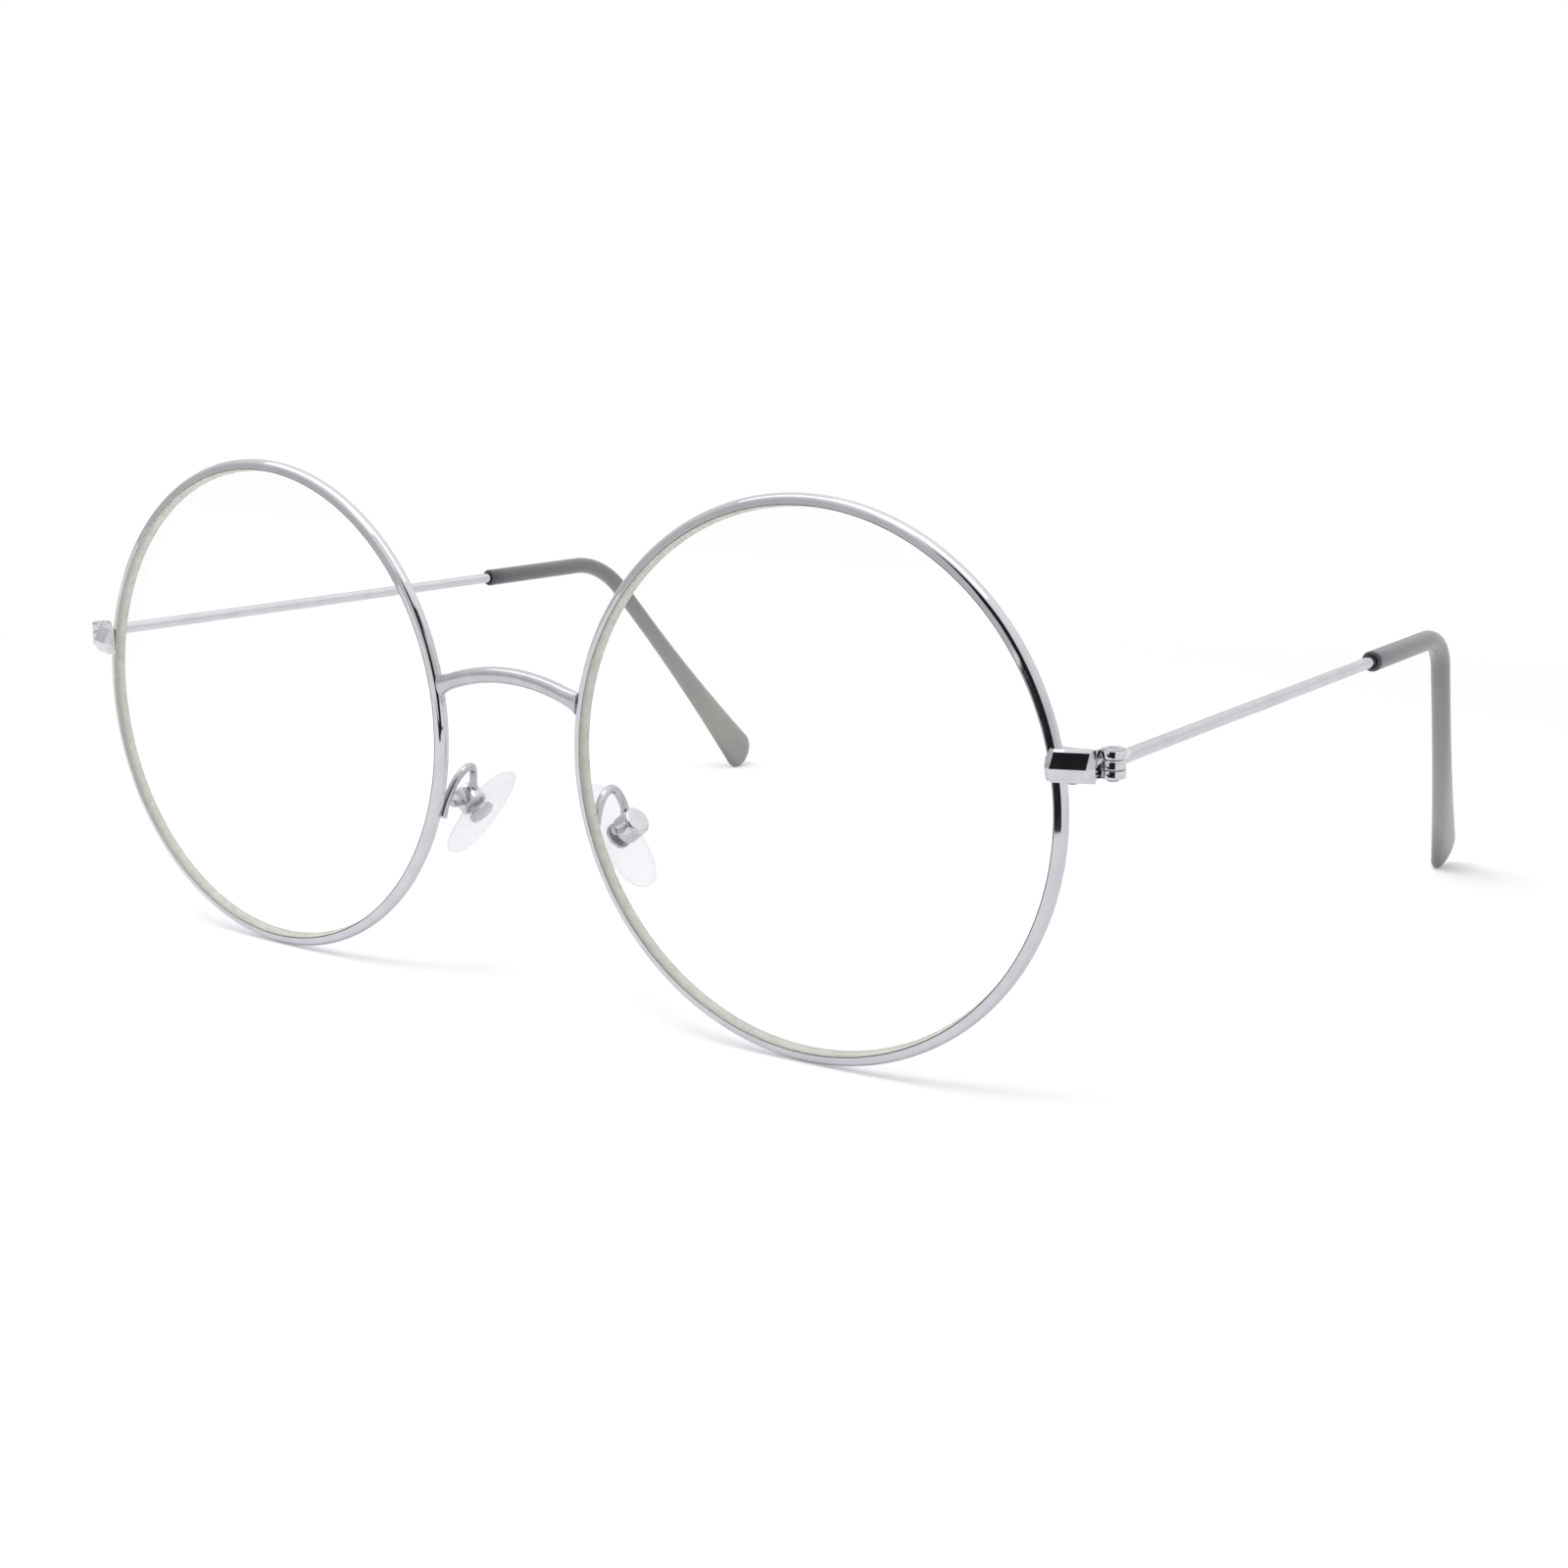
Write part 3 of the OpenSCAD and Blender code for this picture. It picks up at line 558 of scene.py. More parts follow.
def arched_wire(turns, along):
    """A round wire along an arc: at length share t, from -1 to 1, the middle lies at
    R * (sin a, cos a - 1) with a = t * A, and each line along the wire gets its own A, nearer in
    each of 8 rounds, so that it ends braze_in deep in the rim's round outside. The section swells
    upright and thins from front to back over the last swell_l, with a bead as long as bead_l."""
    t, turn = along[:, None], turns[None, :]
    reach = np.full((1, len(turns)), np.arcsin(bridge_half / bridge_arc_r))
    for _ in range(8):
        a = t * reach
        left = bridge_arc_r * (np.abs(reach) - np.abs(a))
        swell = np.clip(1 - left / swell_l, 0, 1) ** 2
        bead = np.exp(-((left / bead_l) ** 2))
        tall = bridge_wire_r + swell_up * swell + bead_up * bead
        deep = bridge_wire_r - swell_thin * swell + bead_out * bead
        out = tall * np.cos(turn)
        x = (bridge_arc_r + out) * np.sin(a)
        z = bridge_up + (bridge_arc_r + out) * np.cos(a) - bridge_arc_r
        want = rim_x - np.sqrt((rim_r - braze_in) ** 2 - z[-1:] ** 2) * np.cos(face_angle)
        reach = reach * want / x[-1:]
    return np.stack([x, bridge_y + deep * np.sin(turn) + 0 * a, z], -1)


braze = bright_plate(
    "bright_brazed_wire", (0.57, 0.57, 0.595, 1), (0.5, 0.5, 0.525, 1), 0.17, 0.0006
)
rings = stood_up(
    arched_wire(full_turn(48), np.sin(np.linspace(-np.pi / 2, np.pi / 2, 121))), 1
)
skin("bridge_wire", rings, braze, "front", ["bridge"])


# The end pieces are ridged bars, ground to flat facets. Behind each lies the rim lock, two blocks
# that a screw draws together. They are bright plated, with edges just broken by the mop.
pin = np.array([71.45, 2.6, 5.5])
end_drop, end_turn, end_h = 0.25, np.radians(20), 3.1
ridge_ahead, ridge_z, end_reach, leaf_u, end_bevel = 1.85, -0.15, 5.757, -1.5, 0.8
rim_side, lock_inside, lock_right, lock_front, lock_back = -4.24, 0.5, -2.34, -1.75, -0.95
upper_facet, top_edge, lower_edge = (0.75, 1.3), (0.95, end_h / 2), (0.55, -end_h / 2)
lock_low, lock_top, bar_broken, lock_broken = 0.08, 1.52, 0.05, 0.06
same_spot, one_flat, sharp_from = 2e-6, np.radians(0.6), np.radians(15)


def corners_of(flats):
    """The corners of the block behind its flats, each given as a point and an outward way: every
    three flats meet in a point, and it is a corner if it lies behind all the others."""
    at, way = (np.array(part, float) for part in zip(*flats))
    way /= np.linalg.norm(way, axis=1)[:, None]
    reach, tiny = (at * way).sum(1), 1e-6
    three = np.array(list(itertools.combinations(range(len(flats)), 3)))
    three = three[np.abs(np.linalg.det(way[three])) > tiny]
    meet = np.linalg.solve(way[three], reach[three][..., None])[..., 0]
    return meet[(meet @ way.T <= reach + tiny).all(1)]


def hull_of(corners):
    """A closed mesh round the corners of a block with only flat and outward faces."""
    mesh = bpy.data.meshes.new("hull")
    work = bmesh.new()
    for corner in corners:
        work.verts.new(corner)
    bmesh.ops.convex_hull(work, input=work.verts)
    bmesh.ops.recalc_face_normals(work, faces=work.faces)
    work.to_mesh(mesh)
    work.free()
    return mesh


def kept_flat(piece, one_face):
    """Gives a flat between rounded edges one even shading. Faces that meet at one_face degrees
    or more meet in a sharp edge."""
    work = bmesh.new()
    work.from_mesh(piece.data)
    for edge in work.edges:
        open_edge = len(edge.link_faces) != 2
        edge.smooth = not open_edge and bool(edge.calc_face_angle() < np.radians(one_face))
    work.to_mesh(piece.data)
    work.free()
    flats = piece.modifiers.new("flats_stay_flat", "WEIGHTED_NORMAL")
    flats.weight, flats.keep_sharp = 100, True


def edges_broken(name, mesh, finish, body, stands_for, width, one_face=16):
    """A block from its mesh, with loose triangles joined, its flats made whole, and each sharp
    edge rounded by width, in mm. Faces that meet at less than one_face degrees shade as one
    round face."""
    mesh.name = name
    work = bmesh.new()
    work.from_mesh(mesh)
    bmesh.ops.remove_doubles(work, verts=work.verts, dist=same_spot)
    bmesh.ops.dissolve_limit(work, angle_limit=one_flat, verts=work.verts, edges=work.edges)
    for face in work.faces:
        face.smooth = True
    work.to_mesh(mesh)
    work.free()
    mesh.materials.clear()
    mesh.materials.append(finish)
    piece = in_scene(name, mesh)
    bevel = piece.modifiers.new("broken_edges", "BEVEL")
    bevel.width, bevel.segments = width / 1000, 3
    bevel.limit_method, bevel.angle_limit = "ANGLE", sharp_from
    bevel.use_clamp_overlap = True
    kept_flat(piece, one_face)
    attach(piece, body)
    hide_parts(stands_for)
    return piece


def block_plate(name, pale, dull, polish):
    """Bright plate on machined blocks: the patches are smaller, and faint straight mop lines run
    across the faces."""
    made, flow, sockets = surface(name, Metallic=1.0)
    place = on_piece(flow)
    patches = noise(flow, place, 800, 2)
    lines = noise(flow, stretched(flow, place, (700, 700, 9000)), 1, 2)
    height = 0.6 * noise(flow, place, 420, 1) + 0.02 * lines
    feed(
        flow, sockets,
        Base_Color=patches.step(0.3, 0.7).tint(dull, pale),
        Roughness=polish + 0.06 * patches.step(0.4, 0.7) + 0.05 * lines.step(0.45, 0.7),
        Normal=bumps(flow, height, 0.3, 0.0003),
    )
    return made


block_bright = block_plate(
    "bright_nickel_block", (0.67, 0.67, 0.69, 1), (0.61, 0.61, 0.635, 1), 0.045
)


def facing(turn, tilt):
    """The way a flat looks: turn in plan from +X, and tilt down from straight up, in degrees."""
    turn, tilt = np.radians(turn), np.radians(tilt)
    return np.sin(tilt) * np.cos(turn), np.sin(tilt) * np.sin(turn), np.cos(tilt)


def on_front(points, side):
    """From the middle of an end piece or lock, beside the hinge pin, to the standing part."""
    return stood_up(points + pin - (0, 0, end_drop), side)


def in_bar(x, y):
    """A place or way that is given square to the front, as the turned bar sees it."""
    return tuple(turned(np.array([x, y, 0.0]), 2, -end_turn))


def profile_flat(first, second):
    """The flat along the bar through two points of its profile, each (behind the ridge, up)."""
    behind, up = second[0] - first[0], second[1] - first[1]
    return (0, first[0] - ridge_ahead, first[1]), (0, -up, behind)


ridge_in = (-end_reach, -ridge_ahead, ridge_z)
ridge_out = (leaf_u - end_bevel, -ridge_ahead, ridge_z)
lens_room = in_bar(-5.3, -2.42), in_bar(-0.92, 1.06)
rim_room = in_bar(rim_side, -1.5), in_bar(-0.27, 1)
bar_flats = [
    # Along the bar: two facets above the ridge, the top, the bottom and the facet below
    profile_flat((0, ridge_z), upper_facet), profile_flat(upper_facet, top_edge),
    ((0, 0, end_h / 2), (0, 0, 1)), ((0, 0, -end_h / 2), (0, 0, -1)),
    profile_flat(lower_edge, (0, ridge_z)),
    # The two ends, and the facets that slant to them, above and below the ridge
    ((-end_reach - lock_inside, 0, 0), (-1, 0, 0)), ((leaf_u, 0, 0), (1, 0, 0)),
    (ridge_in, facing(220, 64)), (ridge_in, facing(220, 110)),
    (ridge_out, facing(315, 77)), (ridge_out, (1, -1, 0)),
    # Behind: room for the lens and the rim, and the flat on the lock
    lens_room, rim_room, (in_bar(0, lock_back), in_bar(0, 1)),
]
for side, hand in sides:
    bar = turned(corners_of(bar_flats), 2, end_turn)
    edges_broken(
        "end_" + hand, hull_of(on_front(bar, side)), block_bright, "front",
        hand + "_end_piece", bar_broken, one_face=5,
    )
    for part, ends in (("upper", (lock_low, lock_top)), ("lower", (-lock_top, -lock_low))):
        across, deep = (rim_side - lock_inside, lock_right), (lock_front, lock_back)
        block = np.stack(np.meshgrid(across, deep, ends), -1).reshape(-1, 3)
        edges_broken(
            "lock_" + part + "_" + hand, hull_of(on_front(block, side)), block_bright, "front",
            hand + "_rim_lock_" + part, lock_broken,
        )


# Each hinge has two knuckles on the front, milled from one leaf that is brazed into the end
# piece, and one knuckle between them, in which the flattened end of the temple wire is brazed.
knuckle_h, knuckle_r, slot_half, middle_half = 2.7, 1.2, 0.54, 0.5
leaf_left, leaf_front, leaf_back, leaf_slope = -1.53, -1.04, -0.35, 0.327
slope_meets, back_meets, hub_at = np.radians(-162.5), np.radians(197), (-0.9, -0.5)
web_r, web_front, web_back, web_turns = 1.27, -0.73, -0.31, np.radians([-145, -166])


def levelled(outline, heights, insets):
    """An upright piece from its outline, (x, y) round in order, at each height, drawn in there by
    the inset along the outline's own square-on direction."""
    along = np.roll(outline, -1, 0) - np.roll(outline, 1, 0)
    out = np.stack([along[:, 1], -along[:, 0]], -1) / np.linalg.norm(along, axis=1)[:, None]
    flat = outline[None] - out[None] * np.array(insets)[:, None, None]
    height = np.array(heights)[:, None, None] + 0 * flat[..., :1]
    return np.concatenate([flat, height], -1)


def rolled_edges(low, high, under, over, steps=5):
    """Heights and insets of a piece from low to high whose lower and upper edges are rounded
    by quarter circles, under and over in radius. One more level at each end, 1.3 radii in, holds
    it flat."""
    turn = np.linspace(0, np.pi / 2, steps)
    heights = np.r_[low, low + under * (1 - np.cos(turn)), high - over * (1 - np.sin(turn)), high]
    insets = np.r_[under * 1.3, under * (1 - np.sin(turn)), over * (1 - np.cos(turn)), over * 1.3]
    return heights, insets


def on_leaf(points, side):
    """From the hinge pin, square to the end piece, to the standing part."""
    return stood_up(turned(points, 2, end_turn) + pin, side)


def arc_and_leaf(radius, turns, front, back):
    """An outline round the pin, as radius * (cos, sin), closed by a straight side on the leaf."""
    turns = np.linspace(*turns, 60)
    arc = radius * np.stack([np.cos(turns), np.sin(turns)], -1)
    return np.concatenate([arc, [(leaf_left, back), (leaf_left, front)]])


knuckle = arc_and_leaf(knuckle_r, (slope_meets, back_meets), leaf_front, leaf_back)
web = arc_and_leaf(web_r, web_turns, web_front, web_back)
low, low_in = rolled_edges(-knuckle_h / 2, -slot_half, under=0.06, over=0.05)
high, high_in = rolled_edges(slot_half, knuckle_h / 2, under=0.05, over=0.08)
leaf_rings = np.concatenate(
    [
        levelled(knuckle, low[:-1], low_in[:-1]),
        levelled(web, [-slot_half, slot_half], [0, 0]),
        levelled(knuckle, high[1:], high_in[1:]),
    ]
)
leaf_rings[:, -1, 1] += leaf_slope * np.clip(leaf_rings[:, -1, 2] - ridge_z, 0, None)
leaf_hubs = np.array([(*hub_at, -knuckle_h / 2), (*hub_at, knuckle_h / 2)])
for side, hand in sides:
    leaf = skin(
        "hinge_front_" + hand, on_leaf(leaf_rings, side), block_bright, "front",
        [hand + "_front_hinge"], hubs=on_leaf(leaf_hubs, side),
    )
    kept_flat(leaf, one_face=40)


# The screws are turned steel: a hinge screw is also the hinge's pin, with a milled rim round its
# slotted head, a lock screw closes each rim from below, and a pad screw holds each pad.
def milled_steel():
    """Turned steel, with fine rings round the screw and faint stains."""
    made, flow, sockets = surface("turned_screw_steel", Metallic=1.0)
    rings = noise(flow, stretched(flow, marked(flow, "grain"), (0.8, 0.8, 14)), 1.2, 2)
    stain = noise(flow, on_piece(flow), 1500, 3)
    feed(
        flow, sockets,
        Base_Color=stain.step(0.35, 0.7).tint((0.42, 0.42, 0.44, 1), (0.58, 0.58, 0.6, 1)),
        Roughness=0.14 + 0.14 * rings + 0.1 * stain,
        Normal=bumps(flow, rings, 0.4, 0.00002),
    )
    return made


screw_steel = milled_steel()
pitch, slot_w, slot_d, slot_wall = 0.25, 0.26, 0.12, 0.03
thread_d, nose_l, chamfer = 0.28 * pitch, 0.06, 0.02
pin_head_h, pin_slot_turn, lock_head_h, lock_short = 0.22, np.radians(35), 0.3, 0.02


def turned_screw(head_r, head_h, shank_r, length, thread, teeth=0):
    """A screw along +Z with the top of its head at 0, as rings from the head's middle outwards
    and down its shank. The head is a shallow dome, 0.12 of its radius high, whose rim has teeth
    as 1 - 0.07 * (1 + cos(teeth * turn)) / 2, and its slot is a trench along X. The thread runs
    between two lengths below the top as a ridge round the shank:
    radius - depth * |2 * share(z / pitch - turn / whole turn) - 1|."""
    turn = full_turn(96)[None, :]
    dome_h, curl_r = 0.12 * head_r, 0.07 * head_r
    milled = 1 - 0.07 * (1 + np.cos(teeth * turn)) / 2 if teeth else 1 + 0 * turn

    def trench(r):
        from_wall = slot_w / 2 - np.abs(r * np.sin(turn))
        return slot_d * np.clip(from_wall / slot_wall + 0.5, 0, 1)

    out = np.linspace(0.04, 0.93, 26)[:, None]
    top_r = out * head_r * (milled * out**6 + 1 - out**6)
    top = [top_r, -dome_h * out**2.2 - trench(top_r)]
    curl = np.linspace(0.2, 1, 5)[:, None] * np.pi / 2
    edge_r = head_r * milled * (0.93 + 0.07 * np.sin(curl))
    rim_drop = dome_h + curl_r * (1 - np.cos(curl))
    rim = [edge_r, -rim_drop - trench(edge_r) * (1 - curl / np.pi * 2)]
    under_z = np.array([[-head_h + chamfer], [-head_h]])
    under = [head_r * milled * np.array([[1.0], [0.97]]), under_z]
    start, stop = thread
    down = np.r_[np.linspace(head_h, start, 5), np.linspace(start, stop, 60)[1:]]
    down = np.r_[down, np.linspace(stop, length - nose_l, 3)[1:]][:, None]
    share = (down / pitch - turn / (2 * np.pi)) % 1
    depth = thread_d * np.clip((down - start) / (pitch / 2), 0, 1)
    shank = [shank_r - depth * np.abs(2 * share - 1), -down]
    nose = [shank_r * np.array([[0.88], [0.72]]), -np.array([[length - chamfer], [length]])]
    parts = [top, rim, under, shank, nose]
    r = np.concatenate([part[0] + 0 * turn for part in parts])
    z = np.concatenate([part[1] + 0 * turn for part in parts])
    return np.stack([r * np.cos(turn), r * np.sin(turn), z], -1)


def screwed_in(name, rings, node):
    """Makes a screw of the front from its rings."""
    skin(name, rings, screw_steel, "front", [node])


pin_screw = turned_screw(
    head_r=1.12, head_h=pin_head_h, shank_r=0.6, length=3.25, thread=(2.62, 3.2), teeth=26
)
lock_l = end_h + lock_head_h - lock_short
lock_screw = turned_screw(
    head_r=0.45, head_h=lock_head_h, shank_r=0.4, length=lock_l, thread=(0.6, lock_l - 0.3)
)
for side, hand in sides:
    top = pin + (0, 0, knuckle_h / 2 + pin_head_h)
    rings = stood_up(turned(pin_screw, 2, pin_slot_turn) + top, side)
    screwed_in("screw_hinge_" + hand, rings, hand + "_hinge_screw")
    # The lock screw stands where the solid's does, head down
    box = np.array(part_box(hand + "_rim_lock_screw")) * 1000
    middle = turned((box.mean(0) + (0, middle_y, -lift)) * (side, 1, 1), 0, -lean)
    head_low = pin[2] - end_drop - end_h / 2 - lock_head_h
    rings = stood_up(lock_screw * (1, -1, -1) + (middle[0], middle[1], head_low), side)
    screwed_in("screw_lock_" + hand, rings, hand + "_rim_lock_screw")


# Each temple is one drawn nickel wire, pressed flat at its end and brazed into its knuckle. It
# runs on inside the tip, where it is drawn thinner and bent down behind the ear.
toe_in, temple_down, bend_roll = np.radians(1.9), np.radians(1.2), np.radians(11)
wire_up, wire_r, core_r, sleeve_r = 0.25, 0.7, 0.55, 1.2
wire_start, flat_to, round_from, wire_bare, wire_inside = 0.75, 1.3, 3.0, 70.0, 8.0
flat_share, dome_l, dome_steps, drawn_over, close_to = 0.6, 0.5, 8, 0.3, 5.0
bend_at, bend_angle, bend_r, drop_l, core_l = 95.5, np.radians(52), 12.0, 46.0, 24.0
bend_tangent = bend_r * np.tan(bend_angle / 2)


def temple_frame(points, side, rolled=True):
    """From a temple's own line, along +Y from the hinge pin, to the standing part. The wire and
    tip lie higher than the knuckle and are rolled in with the bend."""
    out = turned(points, 1, bend_roll) + (0, 0, wire_up) if rolled else points
    return stood_up(turned(turned(out, 0, -temple_down), 2, toe_in) + pin, side)


whole = full_turn(72)
disc = knuckle_r * np.stack([np.cos(whole), np.sin(whole)], -1)
heights, insets = rolled_edges(-middle_half, middle_half, under=0.14, over=0.4, steps=7)
eye_hubs = np.array([(0, 0, -middle_half), (0, 0, middle_half)])
for side, hand in sides:
    eye = skin(
        "hinge_temple_" + hand, temple_frame(levelled(disc, heights, insets), side, False),
        block_bright, "temple_" + hand, [hand + "_temple_hinge"],
        hubs=temple_frame(eye_hubs, side, False),
    )
    kept_flat(eye, one_face=40)


def temple_line(s):
    """The temple's middle line and its direction at length s: straight, then round the bend's
    arc of bend_r, then straight down the drop. s counts along the bent line."""
    turn_l = bend_r * bend_angle
    start = bend_at - bend_tangent
    a = np.clip((s - start) / bend_r, 0, bend_angle)
    before, after = np.minimum(s, start), np.maximum(s - start - turn_l, 0)
    y = before + bend_r * np.sin(a) + after * np.cos(bend_angle)
    z = bend_r * (np.cos(a) - 1) - after * np.sin(bend_angle)
    middle = np.stack([0 * s, y, z], -1)
    ahead = np.stack([0 * s, np.cos(a), -np.sin(a)], -1)
    return middle, ahead


def drawn_along(s, half_x, half_up, turns, power=2.0):
    """Carries an oval section along the temple's line: half_x across and half_up square to the
    line, at |cos|**(2/power) and |sin|**(2/power) of the turn."""
    middle, ahead = temple_line(s)
    upward = np.stack([0 * s, -ahead[:, 2], ahead[:, 1]], -1)
    c, d = np.cos(turns), np.sin(turns)
    c = np.sign(c) * np.abs(c) ** (2 / power)
    d = np.sign(d) * np.abs(d) ** (2 / power)
    across = np.array([1.0, 0, 0])
    return (
        middle[:, None]
        + (half_x[:, None] * c[None])[..., None] * across
        + (half_up[:, None] * d[None])[..., None] * upward[:, None]
    )


def down_drop(distance):
    """The length along the line at a distance down the drop from the corner of the bend."""
    return bend_at - bend_tangent + bend_r * bend_angle + distance - bend_tangent


full_to = wire_bare + wire_inside
dome = wire_start + dome_l * (1 - np.cos(np.linspace(0.1, np.pi / 2, dome_steps)))
s = np.r_[
    dome, np.linspace(dome[-1], close_to, 22)[1:], np.linspace(close_to, wire_bare, 60)[1:],
    full_to - np.array([2.0, 0.5, 0.25, 0.0]),
    np.linspace(full_to + drawn_over, down_drop(core_l), 40),
]
r = np.where(s < full_to - drawn_over, wire_r, core_r)
r[:dome_steps] = wire_r * np.sqrt(np.clip(1 - (1 - (dome - wire_start) / dome_l) ** 2, 0.01, 1))
full = np.clip((s - flat_to) / (round_from - flat_to), 0, 1)
full = full**2 * (3 - 2 * full)
wire_points = drawn_along(s, r, r * (flat_share + (1 - flat_share) * full), full_turn(32))
wire_points[..., 2] -= wire_up * (1 - full)[:, None]
for side, hand in sides:
    rings = temple_frame(wire_points, side)
    skin(
        "wire_temple_" + hand, rings, wire_bright, "temple_" + hand,
        [hand + "_temple_wire"],
    )


# The tips are grey plastic sleeves, moulded to a flat paddle at the end and pushed on the wire
# warm. They are a little clear: dark where the wire fills them, paler and greener where it ends.
tip_w, tip_t, tip_round, flare_at, flare_power = 6.584, 2.2, 2.4, 14.0, 1.6
tip_mid, lip_r, bore_r, bore_l, lip_steps = drop_l - tip_round, 0.2, 0.74, 1.6, 9


def cloudy_grey():
    """Grey plastic whose colour follows the length of the tip, dark over the wire and paler
    beyond it, with painted shade that darkens the paddle towards its edges, faint clouds, and a
    soft sheen from the mould."""
    made, flow, sockets = surface(
        "cloudy_grey_plastic", IOR=1.49, Sheen_Weight=0.5, Sheen_Roughness=0.35
    )
    down, edge, _ = parts_of(flow, marked(flow, "tip_place"))
    place = on_piece(flow)
    clouds = noise(flow, place, 420, 3)
    shade = flow.node(
        "ShaderNodeValToRGB",
        {
            "stops": [
                (0.0, (0.07, 0.075, 0.085, 1)),
                (0.05, (0.14, 0.145, 0.15, 1)),
                (0.35, (0.23, 0.235, 0.23, 1)),
                (0.62, (0.32, 0.32, 0.3, 1)),
                (0.85, (0.40, 0.40, 0.365, 1)),
                (1.0, (0.34, 0.34, 0.315, 1)),
            ]
        },
        {"Fac": down + 0.05 * (clouds - 0.5)},
    )
    # Painted shade: the paddle's colour is darkened towards its edges.
    painted_edge_shade = edge.step(0.55, 1.0)
    feed(
        flow, sockets,
        Base_Color=(painted_edge_shade * 0.45).tint(shade, (0.12, 0.12, 0.11, 1)),
        Roughness=0.22 + 0.12 * clouds,
        Normal=bumps(flow, clouds + 0.05 * noise(flow, place, 4000, 2), 0.25, 0.0002),
    )
    return made


tip_grey = cloudy_grey()
turns, lip = full_turn(48), np.linspace(0, np.pi, lip_steps)
mouth_s = wire_bare + lip_r * (1 - np.sin(lip))
mouth_r = bore_r + (sleeve_r - bore_r) * (1 - np.cos(lip)) / 2
far = down_drop(tip_mid)
body_s = np.linspace(wire_bare + lip_r, far, 130)[1:]
end_s = far + tip_round * np.sin(np.linspace(0, np.radians(88), 14)[1:])
s = np.r_[wire_bare + bore_l, mouth_s, body_s, end_s]
along_drop = s - down_drop(0)
flare = np.clip((along_drop - flare_at) / (tip_mid - flare_at), 0, 1) ** flare_power
close = np.sqrt(np.clip(1 - (np.clip(along_drop - tip_mid, 0, None) / tip_round) ** 2, 0, 1))
half_up = (sleeve_r + (tip_w / 2 - sleeve_r) * flare) * close
half_x = (sleeve_r + (tip_t / 2 - sleeve_r) * flare) * close
half_up[: lip_steps + 1] = half_x[: lip_steps + 1] = np.r_[bore_r, mouth_r]
tip_points = drawn_along(s, half_x, half_up, turns, power=2.15)
share = np.clip((s - wire_bare) / (down_drop(drop_l) - wire_bare), 0, 1)
# edge grows from 0 along the paddle's middle to 1 at its edges, where it carries painted shade.
edge = np.abs(np.sin(turns))[None, :] * flare[:, None]
place = np.stack([share[:, None] + 0 * edge, edge, 0 * edge], -1).reshape(-1, 3)
place = np.concatenate([place, [(share[0], 0, 0), (share[-1], 0, 0)]])
for side, hand in sides:
    rings = temple_frame(tip_points, side)
    tip = skin(
        "tip_" + hand, rings, tip_grey, "temple_" + hand, [hand + "_temple_tip"]
    )
    mark = tip.data.attributes.new("tip_place", "FLOAT_VECTOR", "POINT")
    mark.data.foreach_set("vector", place.reshape(-1).astype(np.float32))


# The pad arms are thin nickel wires, brazed to the back of the rims. Each rises, loops over
# backwards and comes down to its pad box, so that it can be bent to fit the nose.
arm_foot = np.array([11.1549, -0.158929, -9.95279])
arm_top = np.array([10.3, 3.7, -4.8])
arm_end = np.array([11.1523, 5.2, -7.6025])
arm_bends = [
    [arm_foot, arm_foot + (-0.5, 0.7, 3), arm_top + (0, -1.4, 0), arm_top],
    [arm_top, arm_top + (0, 1.1, 0), arm_end + (-0.1, -0.2, 1.4), arm_end],
]


def bent_wire(bends, radius, steps, turns):
    """A round wire along cubic curves. Its section is square to the line, and its first axis is
    the line's direction crossed with +X."""
    t = np.linspace(0, 1, steps, endpoint=False)[:, None]
    line = np.concatenate(
        [
            (1 - t) ** 3 * a + 3 * (1 - t) ** 2 * t * b + 3 * (1 - t) * t**2 * c + t**3 * d
            for a, b, c, d in bends
        ]
        + [bends[-1][3][None]]
    )
    ahead = np.gradient(line, axis=0)
    ahead /= np.linalg.norm(ahead, axis=1)[:, None]
    first = np.cross(ahead, (1.0, 0, 0))
    first /= np.linalg.norm(first, axis=1)[:, None]
    second = np.cross(ahead, first)
    r = radius(np.linspace(0, 1, len(line)))[:, None, None]
    return (
        line[:, None]
        + r * np.cos(turns)[None, :, None] * first[:, None]
        + r * np.sin(turns)[None, :, None] * second[:, None]
    )


def arm_radius(share):
    """The radius at a share of the length: 0.475, and up to 0.13 more in the bead of solder at
    the foot and 0.1 more where the box is brazed on."""
    foot, end = np.exp(-((share / 0.05) ** 2)), np.exp(-(((1 - share) / 0.03) ** 2))
    return 0.475 + 0.13 * foot + 0.1 * end


for side, hand in sides:
    rings = stood_up(bent_wire(arm_bends, arm_radius, 44, full_turn(24)), side)
    skin("arm_pad_" + hand, rings, braze, "front", [hand + "_pad_arm"])


# A pad box is a small pressed cup on the end of each arm. The pad's insert goes into it, and a
# screw through both from behind holds them, with its point standing out ahead.
pad_at, pad_splay = np.array([11.8, 5.2, -9.0]), np.radians(38)
box_r, cup_r, box_end, cup_floor, box_open, near_axis = 1.65, 1.25, -1.4, -1.1, 1.0, 0.02
head_seat, head_h, point_out = 1.45, 0.4, 1.2


def pad_frame(points, side):
    """From a pad's screw, with +Z out of the box towards the nose and +Y back."""
    return stood_up(turned(points, 1, -np.pi / 2 - pad_splay) + pad_at, side)


def lathed(outline, turns):
    """An outline, as (radius, height), turned about +Z."""
    r, h = outline[:, :1], outline[:, 1:]
    turn = turns[None, :]
    return np.stack([r * np.cos(turn), r * np.sin(turn), h + 0 * turn], -1)


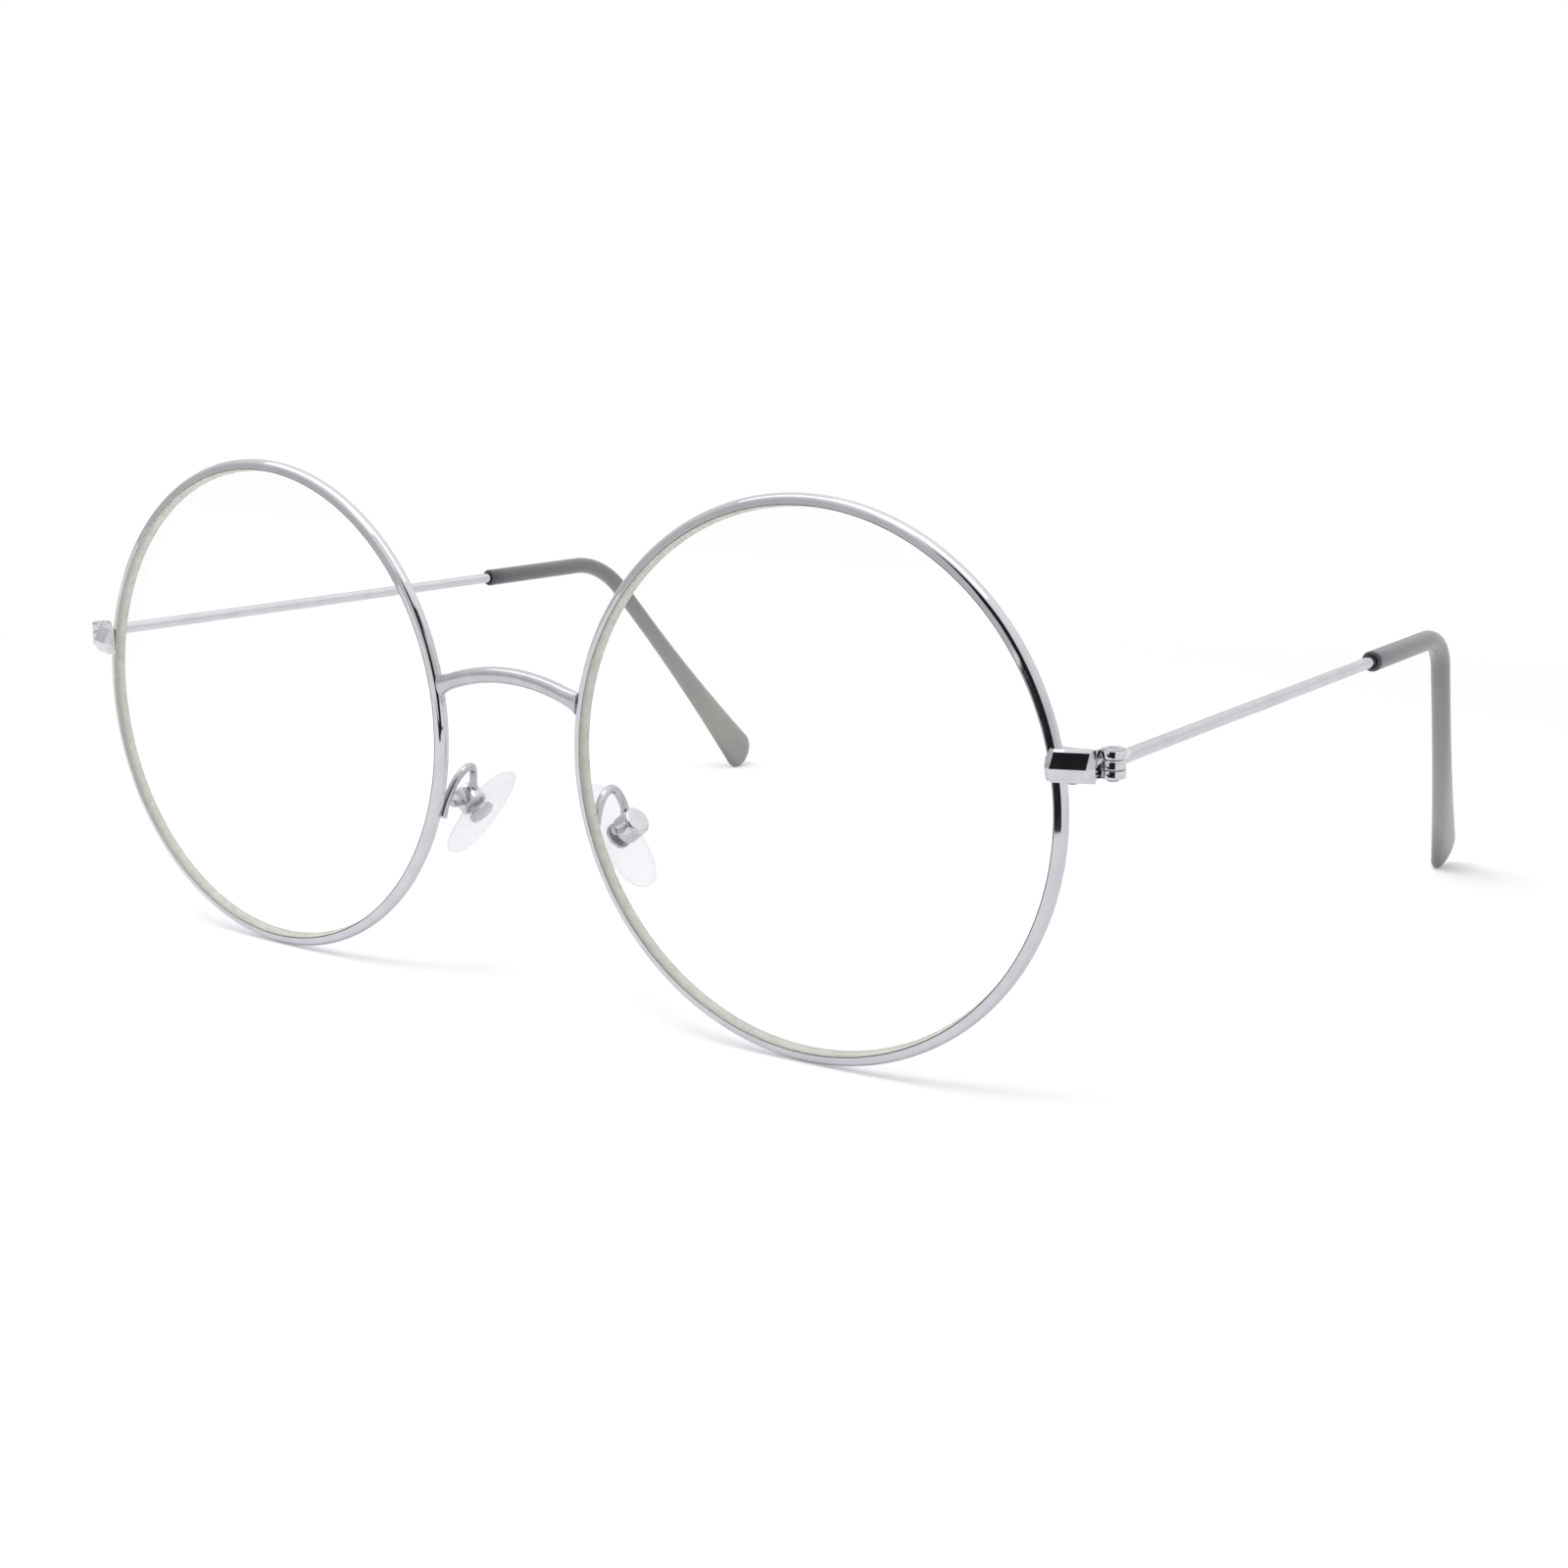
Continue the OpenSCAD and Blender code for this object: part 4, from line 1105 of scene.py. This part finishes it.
# The cup's outline is open at the axis, so the ends of its first and last corners are left out
cup_edges = rounded(
    [
        (near_axis, box_end), (box_r, box_end), (box_r, box_open), (cup_r, box_open),
        (cup_r, cup_floor), (near_axis, cup_floor),
    ],
    [0.001, 0.5, 0.1, 0.08, 0.15, 0.001],
    7,
)[3:-3]
cup_hubs = np.array([[0, 0, box_end], [0, 0, cup_floor]])
pad_screw_l = head_h + head_seat + box_r + point_out
pad_screw = turned_screw(
    head_r=0.75, head_h=head_h, shank_r=0.5, length=pad_screw_l,
    thread=(3.3, pad_screw_l - 0.1), teeth=24,
)
for side, hand in sides:
    skin(
        "box_pad_" + hand, pad_frame(lathed(cup_edges, full_turn(64)), side), block_bright,
        "front", [hand + "_pad_box"], hubs=pad_frame(cup_hubs, side),
    )
    points = turned(pad_screw, 0, -np.pi / 2) + (0, head_seat + head_h, 0)
    screwed_in("screw_pad_" + hand, pad_frame(points, side), hand + "_pad_screw")


# The nose pads are clear soft silicone, moulded round a stamped insert with a flat disc, whose
# eye goes on the pad screw. A pad is an oval, thickest along its middle.
def silicone():
    """Clear silicone with a bluish milkiness, which veils what is behind it and gathers to a
    thin grey line along its edges."""
    made, flow = bare_material("clear_silicone")
    clouds = noise(flow, on_piece(flow), 250, 1)
    milk = flow.node(
        "ShaderNodeBsdfPrincipled",
        sockets={
            "IOR": 1.41,
            "Base Color": clouds.tint((0.84, 0.87, 0.91, 1), (0.88, 0.905, 0.935, 1)),
            "Roughness": 0.06 + 0.1 * clouds.step(0.3, 0.7),
            "Normal": bumps(flow, clouds, 0.1, 0.0002),
        },
    )
    tint, veil = (0.995, 0.998, 1, 1), 0.1 + 0.07 * clouds
    let_through(flow, milk, tint, veil, edge_veil=0.8, power=2.5).shows()
    return made


def stamped_insert():
    """Stamped steel, greyer in clouds."""
    made, flow, sockets = surface("stamped_insert_steel", Metallic=1.0)
    stain = noise(flow, on_piece(flow), 1400, 3)
    feed(
        flow, sockets,
        Base_Color=stain.tint((0.36, 0.36, 0.38, 1), (0.56, 0.56, 0.58, 1)),
        Roughness=0.2 + 0.15 * stain,
    )
    return made


pad_silicone, insert_steel = silicone(), stamped_insert()
pad_l, pad_w, pad_t, pad_mid, pad_power, insert_broken = 13.0, 7.0, 1.7, 2.2, 2.4, 0.04


def pad_rings(turns, steps):
    """The pad's rings along its length X: at share s the section is an oval, pad_w * f wide and
    pad_t * f**0.8 deep, with f = (1 - |s|**pad_power)**(1 / pad_power) and |cos|**0.92 across."""
    s = np.sin(np.radians(88.0) * np.linspace(-1, 1, steps))[:, None]
    f = np.clip(1 - np.abs(s) ** pad_power, 0, 1) ** (1 / pad_power)
    c, d = np.cos(turns)[None], np.sin(turns)[None]
    wide = pad_w / 2 * f * np.sign(c) * np.abs(c) ** 0.92
    deep = pad_t / 2 * f**0.8 * d
    return np.stack([s * pad_l / 2 + 0 * c, wide, pad_mid + deep], -1)


for side, hand in sides:
    rings = pad_frame(pad_rings(full_turn(56), 61), side)
    skin(
        "pad_" + hand, rings, pad_silicone, "nose_pad_" + hand,
        [hand + "_nose_pad"],
    )
    edges_broken(
        "insert_" + hand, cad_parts[hand + "_pad_core"].data.copy(), insert_steel,
        "nose_pad_" + hand, hand + "_pad_core", insert_broken,
    )
